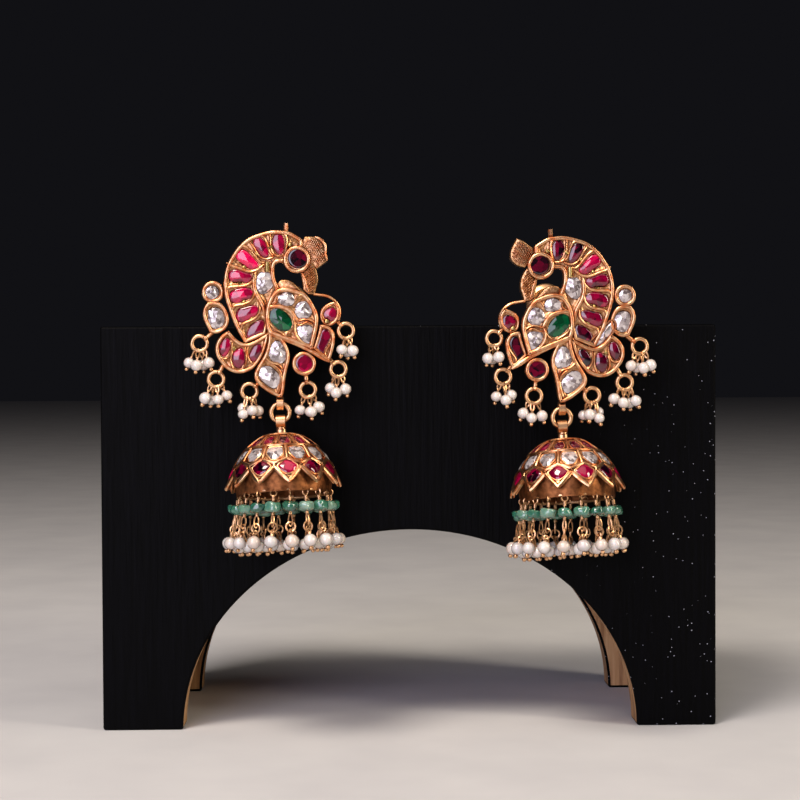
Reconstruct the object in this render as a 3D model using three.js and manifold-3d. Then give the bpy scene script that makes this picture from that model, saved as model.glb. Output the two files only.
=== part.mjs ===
// A pair of kundan jhumka earrings, each a peacock stud with a bell drop, on a plain arched wooden stand.
// Millimetres, +Z up, the front towards -Y. The origin is the middle of the whole thing's box, at its base.
import * as THREE from "three";
import { mergeVertices } from "three/addons/utils/BufferGeometryUtils.js";
import Module from "manifold-3d";

const wasm = await Module();
wasm.setup();

// The stand: five boards, with the same arch in front and behind
const STAND_WIDTH = 122;
const STAND_HEIGHT = 80;
const STAND_DEPTH = 47.5;
const FRONT_BOARD = 8;
const REAR_BOARD = 7;
const SIDE_BOARD = 8;
const ARCH_HALF_WIDTH = 45.15;
const ARCH_HEIGHT = 39.5;
const ARCH_STEPS = 24;
const FRONT_FACE_Y = -12.06;

// How each earring hangs: its pivot is the middle of the stud's bail
const PIVOT_TO_FACE = 9.2;
const PIVOT_Y = FRONT_FACE_Y - PIVOT_TO_FACE;
const EARRINGS = [
  { side: "left", hand: 1, x: -25.1, z: 64.9, turn: 0, roll: 3, post: 19.4 },
  { side: "right", hand: -1, x: 29.2, z: 63.6, turn: -1.4, roll: 4.8, post: 20.7 },
];
const BELL_LEAN = 12;

// The stud's depths, from its back towards the front
const STUD_BACK = 1.1;
const POCKET_DEPTH = 1.1;
const STONE_GAP = 0.25;
const STONE_RISE = 0.45;
const TABLE_SHARE = 0.6;
const STONE_SIDES = 8;
const CELL_SIDES = 10;

// The post behind the stud and its domed nut
const POST_RADIUS = 0.5;
const POST_X = 1.3;
const NUT_RADIUS = 4;
const NUT_THICKNESS = 2.6;
const NUT_BEHIND_FACE = 1.2;

// The links between stud and bell
const RING_RADIUS = 1.75;
const RING_WIRE = 0.45;
const MAIN_RING_SIDES = 14;
const BAIL_HOLE = 0.98;
const BAIL_OUTSIDE = 1.34;
const STUD_BAIL_WIDTH = 1.4;
const BELL_BAIL_WIDTH = 1.9;

// The pearl clusters at the stud's edge
const LOOP_RADIUS = 1.45;
const LOOP_WIRE = 0.32;
const LINK_RADIUS = 1.35;
const LINK_WIRE = 0.28;
const LINK_GAP = 0.25;
const PEARL_RADIUS = 1.4;
const LINK_SIDES = 10;
const WIRE_SIDES = 5;

// The bell, from the middle of its own bail
const BELL_TOP = 2.3;
const BELL_WALL = 0.85;
const PETALS = 12;
const PETAL_PHASE = 8.3;

// The skirt of strings under the bell
const STRINGS = 18;
const STRING_SIDES = 8;
const STRING_CIRCLE = 9.5;
const STRING_RING_DROP = 10.4;
const STRING_RING_WIRE = 0.3;
const STRING_LEAN = 5;

const gold = new THREE.MeshStandardMaterial({ color: "#c98a4e", metalness: 1, roughness: 0.35 });
const ruby = new THREE.MeshStandardMaterial({ color: "#a3103f", roughness: 0.08 });
const emerald = new THREE.MeshStandardMaterial({ color: "#05633a", roughness: 0.08 });
const polki = new THREE.MeshStandardMaterial({ color: "#d9d3d6", roughness: 0.08 });
const pearl = new THREE.MeshStandardMaterial({ color: "#ece6df", roughness: 0.3 });
const wood = new THREE.MeshStandardMaterial({ color: "#15151a", roughness: 0.6 });

// Turns a skin that faces inwards outwards
function outward(geometry) {
  const place = geometry.getAttribute("position");
  const index = geometry.getIndex().array;
  const corner = (k) => new THREE.Vector3().fromBufferAttribute(place, index[k]);
  let volume = 0;
  for (let k = 0; k < index.length; k += 3) {
    volume += corner(k).dot(corner(k + 1).cross(corner(k + 2)));
  }
  if (volume > 0) return geometry;
  const turned = [];
  for (let k = 0; k < index.length; k += 3) {
    turned.push(index[k], index[k + 2], index[k + 1]);
  }
  geometry.setIndex(turned);
  return geometry;
}

// A geometry with nothing but its places, and its corners joined
function bare(geometry) {
  const plain = geometry.clone();
  plain.deleteAttribute("normal");
  plain.deleteAttribute("uv");
  return outward(mergeVertices(plain, 1e-4));
}

function solid(geometry) {
  const skin = bare(geometry);
  const vertProperties = new Float32Array(skin.getAttribute("position").array);
  const triVerts = new Uint32Array(skin.getIndex().array);
  return new wasm.Manifold(new wasm.Mesh({ numProp: 3, vertProperties, triVerts }));
}

function join(solids) {
  return solids.reduce((all, one) => all.add(one));
}

function cut(body, tools) {
  return tools.reduce((rest, tool) => rest.subtract(tool), body);
}

function geometryOf(body) {
  const mesh = body.getMesh();
  const geometry = new THREE.BufferGeometry();
  geometry.setAttribute("position", new THREE.BufferAttribute(mesh.vertProperties.slice(), 3));
  geometry.setIndex([...mesh.triVerts]);
  return geometry;
}

// A closed skin over rings of points, where a ring of one point is a tip
function loft(rings) {
  const sides = Math.max(...rings.map((ring) => ring.length));
  const index = [];
  let count = 0;
  const starts = rings.map((ring) => (count += ring.length) - ring.length);
  const at = (r, k) => starts[r] + (rings[r].length === 1 ? 0 : k % sides);
  for (let r = 0; r + 1 < rings.length; r++) {
    for (let k = 0; k < sides; k++) {
      if (rings[r].length > 1) index.push(at(r, k), at(r, k + 1), at(r + 1, k));
      if (rings[r + 1].length > 1) index.push(at(r, k + 1), at(r + 1, k + 1), at(r + 1, k));
    }
  }
  const last = rings.length - 1;
  for (let k = 1; k < sides - 1; k++) {
    if (rings[0].length > 1) index.push(at(0, 0), at(0, k + 1), at(0, k));
    if (rings[last].length > 1) index.push(at(last, 0), at(last, k), at(last, k + 1));
  }
  const geometry = new THREE.BufferGeometry().setFromPoints(rings.flat());
  geometry.setIndex(index);
  return outward(geometry);
}

// A turned body about Z, from rows of radius and height; a radius of 0 is a tip
function turned(profile, sides) {
  return loft(profile.map(({ r, z }) => {
    if (r === 0) return [new THREE.Vector3(0, 0, z)];
    return Array.from({ length: sides }, (_, k) => {
      const angle = (2 * Math.PI * k) / sides;
      return new THREE.Vector3(r * Math.cos(angle), r * Math.sin(angle), z);
    });
  }));
}

// A wire ring about Y, as a link is seen from the front
function wireRing(radius, wire, sides, wireSides) {
  return new THREE.TorusGeometry(radius, wire, wireSides, sides).rotateX(Math.PI / 2);
}

// A plate between two depths, with its outline given in X and Z
function plate(outline, back, front) {
  const geometry = new THREE.ExtrudeGeometry(new THREE.Shape(outline), {
    depth: back - front,
    bevelEnabled: false,
  });
  return geometry.rotateX(Math.PI / 2).translate(0, back, 0);
}

// An outline through rows of x and z: smooth between the rows marked as corners
function traced(rows, steps) {
  const first = rows.findIndex((row) => row.corner);
  const start = Math.max(first, 0);
  const loop = [...rows.slice(start), ...rows.slice(0, start), rows[start]];
  if (first < 0) {
    const places = rows.map((row) => new THREE.Vector3(row.x, row.z, 0));
    const curve = new THREE.CatmullRomCurve3(places, true);
    return curve.getPoints(rows.length * steps).slice(1).map((p) => new THREE.Vector2(p.x, p.y));
  }
  const outline = [];
  let stretch = [];
  loop.forEach((row, k) => {
    stretch.push(new THREE.Vector2(row.x, row.z));
    if (k === 0 || !row.corner) return;
    const points = new THREE.SplineCurve(stretch).getPoints((stretch.length - 1) * steps);
    outline.push(...points.slice(1));
    stretch = [new THREE.Vector2(row.x, row.z)];
  });
  return outline;
}

// Outlines of stones and cells: a round or oval, a drop with its point up, and a leaf with two points
const FORMS = {
  oval: (t) => [Math.sin(t), Math.cos(t)],
  drop: (t) => [Math.sin(t) * Math.sin(t / 2) * 1.2, Math.cos(t)],
  leaf: (t) => [Math.sin(t) * Math.sqrt(Math.abs(Math.sin(t))), Math.cos(t)],
};

function formed({ form = "oval", x, z, wide, high, turn = 0 }, sides, grow = 0) {
  const angle = THREE.MathUtils.degToRad(turn);
  return Array.from({ length: sides }, (_, k) => {
    const [u, v] = FORMS[form]((2 * Math.PI * k) / sides);
    const point = new THREE.Vector2(u * (wide / 2 + grow), v * (high / 2 + grow));
    return point.rotateAround(new THREE.Vector2(), -angle).add(new THREE.Vector2(x, z));
  });
}

// A cut stone with a flat table, its facets rising from the girdle
function cutStone(outline, back, girdle, table) {
  const middle = outline.reduce((sum, p) => sum.add(p), new THREE.Vector2()).divideScalar(outline.length);
  const ring = (share, y) => outline.map((p) => {
    const q = p.clone().sub(middle).multiplyScalar(share).add(middle);
    return new THREE.Vector3(q.x, y, q.y);
  });
  return loft([ring(1, back), ring(1, girdle), ring(TABLE_SHARE, table)]);
}

// The stud's plates: x and z run right and up from the pivot, front is the depth of the plate's face
const NECK = {
  front: -1.1,
  edge: [
    { x: 4.4, z: 31.6, corner: true },
    { x: 1.9, z: 32.9 },
    { x: -2.0, z: 33.3 },
    { x: -5.9, z: 32.1 },
    { x: -9.2, z: 29.0 },
    { x: -11.0, z: 24.8 },
    { x: -11.1, z: 20.6 },
    { x: -9.6, z: 16.5 },
    { x: -6.4, z: 10.6, corner: true },
    { x: -2.4, z: 13.4, corner: true },
    { x: -3.4, z: 17.6 },
    { x: -5.0, z: 21.8 },
    { x: -4.4, z: 25.6 },
    { x: -1.4, z: 28.4 },
    { x: 1.0, z: 28.3, corner: true },
  ],
};
const WING = {
  front: -1.7,
  edge: [
    { x: 5.9, z: 10.6, corner: true },
    { x: 1.4, z: 12.0 },
    { x: -2.4, z: 13.7, corner: true },
    { x: -3.1, z: 16.6 },
    { x: -2.0, z: 20.0 },
    { x: 1.2, z: 21.8 },
    { x: 4.8, z: 21.0 },
    { x: 7.1, z: 17.6 },
    { x: 7.1, z: 14.0 },
  ],
};
const LEAF = {
  front: -1.3,
  edge: [
    { x: 9.9, z: 7.7, corner: true },
    { x: 8.4, z: 8.9 },
    { x: 6.2, z: 10.6 },
    { x: 7.0, z: 15.6, corner: true },
    { x: 9.0, z: 14.6 },
    { x: 10.4, z: 12.6 },
    { x: 10.1, z: 10.2 },
    { x: 9.6, z: 8.9 },
  ],
};
const DROP = {
  front: -1.5,
  edge: [
    { x: 0, z: 0.8, corner: true },
    { x: -2.0, z: 1.8 },
    { x: -4.7, z: 3.6 },
    { x: -4.6, z: 6.4 },
    { x: -2.7, z: 8.8 },
    { x: -2.2, z: 14.2, corner: true },
    { x: 0.8, z: 13.0, corner: true },
    { x: 2.3, z: 9.2 },
    { x: 1.6, z: 6.0 },
    { x: 0.7, z: 3.0 },
  ],
};
const CRESCENT = {
  front: -0.9,
  edge: [
    { x: -10.2, z: 13.6, corner: true },
    { x: -12.3, z: 12.0 },
    { x: -12.5, z: 9.2 },
    { x: -10.8, z: 6.6 },
    { x: -7.8, z: 5.7 },
    { x: -4.6, z: 6.6 },
    { x: -2.8, z: 9.2 },
    { x: -2.2, z: 12.6, corner: true },
    { x: -4.4, z: 11.1 },
    { x: -7.0, z: 10.9 },
    { x: -9.2, z: 12.2 },
  ],
};
const CREST = {
  front: -0.4,
  edge: [
    { x: 4.2, z: 31.2, corner: true },
    { x: 5.0, z: 32.3, corner: true },
    { x: 7.3, z: 31.9 },
    { x: 9.0, z: 29.6 },
    { x: 9.3, z: 27.3, corner: true },
    { x: 7.2, z: 25.9, corner: true },
    { x: 5.6, z: 27.4 },
  ],
};
const BEAK = {
  front: -0.4,
  edge: [
    { x: 5.8, z: 27.4, corner: true },
    { x: 7.2, z: 25.4 },
    { x: 7.4, z: 23.4 },
    { x: 6.8, z: 20.6, corner: true },
    { x: 5.7, z: 20.6 },
    { x: 4.3, z: 23.4 },
    { x: 3.9, z: 25.4, corner: true },
  ],
};
const TRACED_PLATES = [NECK, WING, LEAF, DROP, CRESCENT, CREST, BEAK];
const FORMED_PLATES = [
  { x: 3.4, z: 27.9, wide: 4.9, high: 4.9, front: -1.3 },
  { x: 4.6, z: 7.5, wide: 5.2, high: 5.0, front: -1.3 },
  { x: -13.0, z: 21.2, wide: 4.6, high: 4.6, front: -0.8 },
  { form: "drop", x: -12.3, z: 16.1, wide: 5.4, high: 6.6, turn: 2, front: -0.8 },
  { form: "drop", x: -3.2, z: 22.9, wide: 4.4, high: 9.0, turn: 6, front: -1.1 },
  { form: "drop", x: 9.8, z: 16.8, wide: 4.8, high: 5.4, turn: 12, front: -0.9 },
];

// The stones that are pieces of their own, each set in a pocket
const STONES = [
  { name: "eye_ruby", gem: ruby, x: 3.5, z: 27.9, wide: 3.8, high: 3.8, front: -1.3 },
  { name: "round_ruby", gem: ruby, x: 4.7, z: 7.5, wide: 3.7, high: 3.7, front: -1.3 },
  { name: "drop_ruby", gem: ruby, x: 10.1, z: 16.9, wide: 2.2, high: 2.8, turn: 15, front: -0.9 },
  { name: "leaf_ruby", gem: ruby, form: "leaf", x: 8.5, z: 11.8, wide: 2.8, high: 5.2, turn: 8, front: -1.3 },
  { name: "wing_white_upper", gem: polki, x: 1.3, z: 20.0, wide: 3.3, high: 2.6, turn: -12, front: -1.7 },
  { name: "wing_white_middle", gem: polki, x: 4.5, z: 17.7, wide: 3.1, high: 3.2, front: -1.7 },
  { name: "wing_white_lower", gem: polki, form: "drop", x: 4.9, z: 13.5, wide: 3.2, high: 3.5, turn: 150, front: -1.7 },
  { name: "wing_green", gem: emerald, form: "leaf", x: 0.2, z: 16.0, wide: 3.6, high: 5.2, turn: -38, front: -1.7 },
  { name: "neck_white", gem: polki, x: -3.1, z: 23.3, wide: 3.5, high: 4.2, front: -1.1 },
  { name: "drop_white_upper", gem: polki, form: "drop", x: -0.5, z: 9.7, wide: 3.1, high: 4.5, front: -1.5 },
  { name: "drop_white_lower", gem: polki, x: -2.2, z: 4.9, wide: 4.0, high: 3.6, turn: -20, front: -1.5 },
];

// The stones that are fused to their setting
const SET_STONES = [
  { x: -0.2, z: 30.9, wide: 2.1, high: 4.1, turn: 0, front: -1.1 },
  { x: -3.6, z: 30.2, wide: 1.9, high: 4.1, turn: -20, front: -1.1 },
  { x: -6.5, z: 27.8, wide: 2.1, high: 4.3, turn: -48, front: -1.1 },
  { x: -7.7, z: 24.6, wide: 2.3, high: 4.1, turn: -86, front: -1.1 },
  { x: -7.7, z: 20.9, wide: 2.6, high: 4.3, turn: 88, front: -1.1 },
  { x: -6.4, z: 17.1, wide: 2.4, high: 3.7, turn: 68, front: -1.1 },
  { x: -4.7, z: 14.1, wide: 2.6, high: 3.9, turn: 48, front: -1.1 },
  { x: -10.7, z: 10.6, wide: 2.1, high: 3.7, turn: 8, front: -0.9 },
  { x: -8.0, z: 8.4, wide: 2.4, high: 3.8, turn: -25, front: -0.9 },
  { x: -4.7, z: 9.6, wide: 2.0, high: 3.5, turn: 35, front: -0.9 },
  { x: -13.3, z: 21.2, wide: 2.9, high: 2.9, turn: 0, front: -0.8 },
  { form: "drop", x: -12.6, z: 16.2, wide: 3.1, high: 4.3, turn: 0, front: -0.8 },
];

// The soldered loops round the stud's edge, and the pearls that hang from each, from the loop's middle
const CLUSTERS = [
  { x: -15.4, z: 11.6, tab: [-12.4, 12.6], pearls: [[-2.0, -4.0, 0.2], [0, -4.3, -1.1], [1.9, -4.0, 0.2]] },
  { x: -12.3, z: 4.7, tab: [-10.8, 7.6], pearls: [[-2.0, -3.7, 0.2], [0, -3.9, -1.1], [2.0, -3.6, 0.2]] },
  { x: -5.9, z: 2.4, tab: [-4.2, 3.8], pearls: [[-1.6, -4.0, 0.2], [0.3, -4.4, -1.1], [2.1, -4.1, 0.3]] },
  { x: 5.3, z: 2.6, tab: [4.9, 5.6], pearls: [[-1.7, -4.0, 0.2], [0.3, -4.4, -1.1], [2.2, -3.9, 0.2]] },
  { x: 11.2, z: 6.5, tab: [9.6, 8.4], pearls: [[-1.9, -4.2, 0.2], [0, -4.3, -1.05], [1.8, -4.2, 0.3]] },
  { x: 12.7, z: 13.9, tab: [10.8, 16.0], pearls: [[-0.6, -3.9, -0.7], [1.5, -4.0, -0.2], [0.3, -4.0, 1.5]] },
];

// The curved wire from the beak to the drop ruby, and the short stub on top of the head
const WIRE_ROUTE = [
  { x: 6.4, z: 20.8 },
  { x: 9.5, z: 20.5 },
  { x: 11.3, z: 18.9 },
  { x: 11.6, z: 16.6 },
];
const WIRE_HALF_WIDTH = 0.35;
const TAB_WIDTH = 0.9;
const STUB = { x: 1.2, z: 33.0, half: 0.5, high: 1.8 };

function curvedWire() {
  const curve = new THREE.SplineCurve(WIRE_ROUTE.map((row) => new THREE.Vector2(row.x, row.z)));
  const steps = WIRE_ROUTE.length + 1;
  const side = (sign) => Array.from({ length: steps + 1 }, (_, k) => {
    const along = curve.getTangent(k / steps);
    const out = new THREE.Vector2(-along.y, along.x).multiplyScalar(sign * WIRE_HALF_WIDTH);
    return curve.getPoint(k / steps).add(out);
  });
  return plate([...side(1), ...side(-1).reverse()], 0.2, -0.5);
}

// A folded strip about X, round a wire, with a neck that reaches the piece that it hangs on
function bail(width, neckLength, neckWidth, towards) {
  const round = (radius) => formed({ x: 0, z: 0, wide: 2 * radius, high: 2 * radius }, LINK_SIDES);
  const outline = new THREE.Shape(round(BAIL_OUTSIDE));
  outline.holes.push(new THREE.Path(round(BAIL_HOLE).reverse()));
  const strip = new THREE.ExtrudeGeometry(outline, { depth: width, bevelEnabled: false });
  strip.rotateY(Math.PI / 2).translate(-width / 2, 0, 0);
  const reach = (BAIL_HOLE + BAIL_OUTSIDE) / 2;
  const neck = new THREE.BoxGeometry(neckWidth, 0.9, neckLength);
  neck.translate(0, 0, towards * (reach + neckLength / 2));
  return join([solid(strip), solid(neck)]);
}

// The tab that a soldered loop stands on: a short bar from the loop's wire into the stud
function tab({ x, z, tab: [toX, toZ] }) {
  const loop = new THREE.Vector2(x, z);
  const foot = new THREE.Vector2(toX, toZ);
  const along = foot.clone().sub(loop).normalize();
  const from = loop.clone().addScaledVector(along, LOOP_RADIUS);
  const across = new THREE.Vector2(-along.y, along.x).multiplyScalar(TAB_WIDTH / 2);
  const corners = [from.clone().add(across), from.clone().sub(across), foot.clone().sub(across), foot.add(across)];
  return solid(plate(corners, 0.4, -0.4));
}

function studFrame() {
  const plates = TRACED_PLATES.map(({ edge, front }) => solid(plate(traced(edge, 2), STUD_BACK, front)));
  FORMED_PLATES.forEach((cell) => {
    plates.push(solid(plate(formed(cell, CELL_SIDES), STUD_BACK, cell.front)));
  });
  const pockets = STONES.map((stone) => {
    const outline = formed(stone, STONE_SIDES, 0);
    return solid(plate(outline, stone.front + POCKET_DEPTH, stone.front - 2));
  });
  const crowns = SET_STONES.map((stone) => {
    const outline = formed(stone, STONE_SIDES);
    return solid(cutStone(outline, stone.front + 0.4, stone.front - 0.05, stone.front - STONE_RISE));
  });
  const loops = CLUSTERS.map(({ x, z }) => {
    return solid(wireRing(LOOP_RADIUS, LOOP_WIRE, LINK_SIDES, WIRE_SIDES).translate(x, 0, z));
  });
  const stub = new THREE.BoxGeometry(2 * STUB.half, 1, STUB.high + 0.6);
  stub.translate(STUB.x, 0, STUB.z + STUB.high / 2);
  const body = cut(join(plates), pockets);
  const extras = [solid(curvedWire()), solid(stub), bail(STUD_BAIL_WIDTH, 0.8, 0.9, 1)];
  return join([body, ...crowns, ...loops, ...CLUSTERS.map(tab), ...extras]);
}

function stone(row) {
  const outline = formed(row, STONE_SIDES, -STONE_GAP);
  const back = row.front + POCKET_DEPTH - STONE_GAP;
  return cutStone(outline, back, row.front, row.front - STONE_RISE);
}

// The post runs back from the stud's plate, and its domed nut rests on top of the stand
function postAndNut(rise) {
  const nutFront = PIVOT_TO_FACE + NUT_BEHIND_FACE;
  const length = nutFront + NUT_THICKNESS - STUD_BACK;
  const profile = [
    { r: 0, z: 0.3 },
    { r: POST_RADIUS, z: 0.3 },
    { r: POST_RADIUS, z: nutFront - STUD_BACK },
    { r: NUT_RADIUS * 0.72, z: nutFront - STUD_BACK },
    { r: NUT_RADIUS, z: nutFront - STUD_BACK + NUT_THICKNESS * 0.3 },
    { r: NUT_RADIUS * 0.86, z: nutFront - STUD_BACK + NUT_THICKNESS * 0.7 },
    { r: NUT_RADIUS * 0.4, z: length },
    { r: 0, z: length },
  ];
  return turned(profile, LINK_SIDES).rotateX(-Math.PI / 2).translate(POST_X, STUD_BACK, rise);
}

function cluster({ x, z, pearls }) {
  const linkMiddle = -LOOP_RADIUS + LOOP_WIRE + LINK_GAP + LINK_WIRE - LINK_RADIUS;
  const link = wireRing(LINK_RADIUS, LINK_WIRE, LINK_SIDES, WIRE_SIDES).rotateZ(Math.PI / 2);
  const pieces = [solid(link.translate(0, 0, linkMiddle))];
  pearls.forEach(([px, pz, py]) => {
    pieces.push(solid(ball(PEARL_RADIUS).translate(px, py, pz)));
  });
  return geometryOf(join(pieces)).translate(x, 0, z);
}

function ball(radius) {
  const ringLatitude = THREE.MathUtils.degToRad(28);
  const r = radius * Math.cos(ringLatitude);
  const z = radius * Math.sin(ringLatitude);
  return turned([{ r: 0, z: radius }, { r, z }, { r, z: -z }, { r: 0, z: -radius }], LINK_SIDES);
}

// The bell's outer profile, from its top
const BELL_PROFILE = [
  { r: 0, drop: 0 },
  { r: 2.6, drop: 0.3 },
  { r: 4.6, drop: 1.2 },
  { r: 6.7, drop: 2.8 },
  { r: 8.3, drop: 4.7 },
  { r: 9.4, drop: 6.5 },
  { r: 10.05, drop: 7.8 },
  { r: 11.3, drop: 10.3 },
];

// The ribs between the rows of cells; each zigzags by its wave, down at the odd columns
const BELL_RIBS = [
  { drop: 2.65, wave: 0 },
  { drop: 5.6, wave: -0.75 },
  { drop: 9.05, wave: 1.25 },
];

const CROWN_DROP = 0.3;

// The stones in each row of cells, as shares of the cell, and which columns they stand on
const BELL_ROWS = [
  { wide: 0.7, high: 0.66, odd: 0 },
  { wide: 0.66, high: 0.52, odd: 1 },
];

function bellRadius(drop) {
  const k = Math.max(1, BELL_PROFILE.findIndex((row) => row.drop >= drop - 1e-9));
  const [above, below] = [BELL_PROFILE[k - 1], BELL_PROFILE[k]];
  return above.r + ((drop - above.drop) / (below.drop - above.drop)) * (below.r - above.r);
}

// A point on the bell at a column round it and a drop below its top, raised out of it or sunk in it
function onBell(column, drop, rise = 0) {
  const angle = THREE.MathUtils.degToRad(PETAL_PHASE - 90) + (Math.PI * (column - 1)) / PETALS;
  const slope = Math.atan2(bellRadius(drop + 0.4) - bellRadius(drop - 0.4), 0.8);
  const r = bellRadius(drop) + rise * Math.cos(slope);
  const z = -BELL_TOP - drop + rise * Math.sin(slope);
  return new THREE.Vector3(r * Math.cos(angle), r * Math.sin(angle), z);
}

function ribDrop({ drop, wave }, column) {
  return drop + (column % 2 ? wave : -wave);
}

// One cell of the bell: its frame, and in it a cut stone with eight facets and a table
function bellCell(row, column) {
  const [top, low] = [BELL_RIBS[row], BELL_RIBS[row + 1]];
  const at = (dc, rib) => [column + dc, ribDrop(rib, column + dc)];
  const between = (dc) => [column + dc, (ribDrop(top, column + dc) + ribDrop(low, column + dc)) / 2];
  const frame = [
    at(-1, top), at(0, top), at(1, top), between(1),
    at(1, low), at(0, low), at(-1, low), between(-1),
  ];
  const { wide, high } = BELL_ROWS[row];
  const tall = ribDrop(low, column) - ribDrop(top, column);
  const middle = (ribDrop(low, column) + ribDrop(top, column)) / 2;
  const round = (share, rise) => frame.map((_, k) => {
    const angle = (Math.PI * (k - 1)) / 4;
    const across = column + share * wide * Math.sin(angle);
    return onBell(across, middle - (share * high * tall * Math.cos(angle)) / 2, rise);
  });
  return [frame.map(([c, drop]) => onBell(c, drop)), round(1, 0), round(TABLE_SHARE, STONE_RISE)];
}

// The triangles between two rings of points of the same length
function band(from, to) {
  return from.flatMap((point, k) => {
    const next = (k + 1) % from.length;
    return [point, from[next], to[k], from[next], to[next], to[k]];
  });
}

function fan(ring) {
  return ring.slice(2).flatMap((point, k) => [ring[0], ring[k + 1], point]);
}

function bellShell() {
  const columns = Array.from({ length: 2 * PETALS }, (_, k) => k);
  const triangles = [];
  BELL_ROWS.forEach(({ odd }, row) => {
    columns.filter((column) => column % 2 === odd).forEach((column) => {
      const [frame, girdle, table] = bellCell(row, column);
      triangles.push(...band(frame, girdle), ...band(girdle, table), ...fan(table));
    });
  });
  const shoulder = columns.map((column) => onBell(column, ribDrop(BELL_RIBS[0], column)));
  const crown = columns.map((column) => onBell(column, CROWN_DROP));
  triangles.push(...band(shoulder.reverse(), crown.reverse()), ...fan(crown));
  const rim = BELL_RIBS[BELL_RIBS.length - 1];
  const rimSunk = columns.map((column) => onBell(column, ribDrop(rim, column), -BELL_WALL));
  const inside = [7, 4.4, 2].map((drop) => columns.map((column) => onBell(column, drop, -BELL_WALL)));
  const skins = [columns.map((column) => onBell(column, ribDrop(rim, column))), rimSunk, ...inside];
  skins.slice(1).forEach((ring, k) => triangles.push(...band(skins[k], ring)));
  triangles.push(...fan(inside[2]));
  const geometry = new THREE.BufferGeometry().setFromPoints(triangles);
  return mergeVertices(geometry, 1e-4);
}

function bell() {
  return geometryOf(join([solid(bellShell()), bail(BELL_BAIL_WIDTH, 1.7, 1.7, -1)]));
}

// One string: wire, green bead, wire and pearl, from the ring inside the rim down
const STRING_PROFILE = [
  { r: 0.26, z: 0.1 },
  { r: 0.3, z: -3.8 },
  { r: 1.65, z: -4.7 },
  { r: 0.45, z: -5.7 },
  { r: 0.5, z: -10.4 },
  { r: 1.4, z: -11.8 },
  { r: 0, z: -13.3 },
];

// The ring inside the rim: a flat band that the strings hang from
function stringRing() {
  const half = STRING_RING_WIRE * 1.2;
  const section = [[half, 0], [half, 2 * half], [-half, 2 * half], [-half, 0]];
  const triangles = [];
  const rings = section.map(([out, up]) => Array.from({ length: STRINGS }, (_, k) => {
    const angle = (2 * Math.PI * (k - 0.5)) / STRINGS;
    const r = (STRING_CIRCLE + out) / Math.cos(Math.PI / STRINGS);
    return new THREE.Vector3(r * Math.cos(angle), r * Math.sin(angle), up);
  }));
  rings.forEach((ring, k) => triangles.push(...band(ring, rings[(k + 1) % rings.length])));
  return mergeVertices(new THREE.BufferGeometry().setFromPoints(triangles), 1e-4);
}

// The strings hang straight down from the leaning bell; away from the stand they spread a little
function skirt() {
  const lean = THREE.MathUtils.degToRad(BELL_LEAN);
  const drop = -BELL_TOP - STRING_RING_DROP;
  const pieces = [solid(stringRing().translate(0, 0, drop))];
  for (let k = 0; k < STRINGS; k++) {
    const angle = (2 * Math.PI * k) / STRINGS;
    const out = THREE.MathUtils.degToRad(STRING_LEAN) * Math.min(1, 1 - Math.sin(angle));
    const string = turned(STRING_PROFILE, STRING_SIDES).rotateY(-out).rotateZ(angle);
    string.rotateX(lean);
    string.translate(STRING_CIRCLE * Math.cos(angle), STRING_CIRCLE * Math.sin(angle), drop);
    pieces.push(solid(string));
  }
  return geometryOf(join(pieces));
}

function piece(name, geometry, material, hand = 1) {
  const mesh = new THREE.Mesh(outward(bare(geometry).scale(hand, 1, 1)), material);
  mesh.name = name;
  return mesh;
}

function earring({ side, hand, x, z, turn, roll, post }) {
  const drop = new THREE.Group();
  drop.position.set(0, 0, -RING_RADIUS);
  drop.rotation.y = THREE.MathUtils.degToRad(-roll);
  const hung = new THREE.Group();
  hung.position.set(0, 0, -RING_RADIUS);
  hung.rotation.x = THREE.MathUtils.degToRad(-BELL_LEAN);
  hung.add(piece(`${side}_bell`, bell(), gold, hand));
  hung.add(piece(`${side}_bead_skirt`, skirt(), pearl, hand));
  drop.add(hung);
  const stud = new THREE.Group();
  stud.rotation.y = THREE.MathUtils.degToRad(turn);
  stud.add(piece(`${side}_stud_frame`, geometryOf(studFrame()), gold, hand));
  stud.add(piece(`${side}_post_and_nut`, postAndNut(post), gold, hand));
  STONES.forEach((row) => stud.add(piece(`${side}_${row.name}`, stone(row), row.gem, hand)));
  CLUSTERS.forEach((row, k) => stud.add(piece(`${side}_pearl_cluster_${k + 1}`, cluster(row), pearl, hand)));
  const whole = new THREE.Group();
  whole.position.set(x, PIVOT_Y, z);
  const link = wireRing(RING_RADIUS, RING_WIRE, MAIN_RING_SIDES, WIRE_SIDES).translate(0, 0, -RING_RADIUS);
  whole.add(stud, piece(`${side}_main_ring`, link, gold, hand), drop);
  return whole;
}

function archedBoard(thickness, frontY) {
  const half = STAND_WIDTH / 2;
  const outline = [[-half, 0], [-half, STAND_HEIGHT], [half, STAND_HEIGHT], [half, 0]];
  const points = outline.map(([x, z]) => new THREE.Vector2(x, z));
  for (let k = 0; k <= ARCH_STEPS; k++) {
    const angle = (Math.PI * k) / ARCH_STEPS;
    points.push(new THREE.Vector2(ARCH_HALF_WIDTH * Math.cos(angle), ARCH_HEIGHT * Math.sin(angle)));
  }
  return plate(points, frontY + thickness, frontY);
}

function board(low, high) {
  const size = high.map((value, k) => value - low[k]);
  return new THREE.BoxGeometry(...size).translate(...high.map((value, k) => (value + low[k]) / 2));
}

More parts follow.
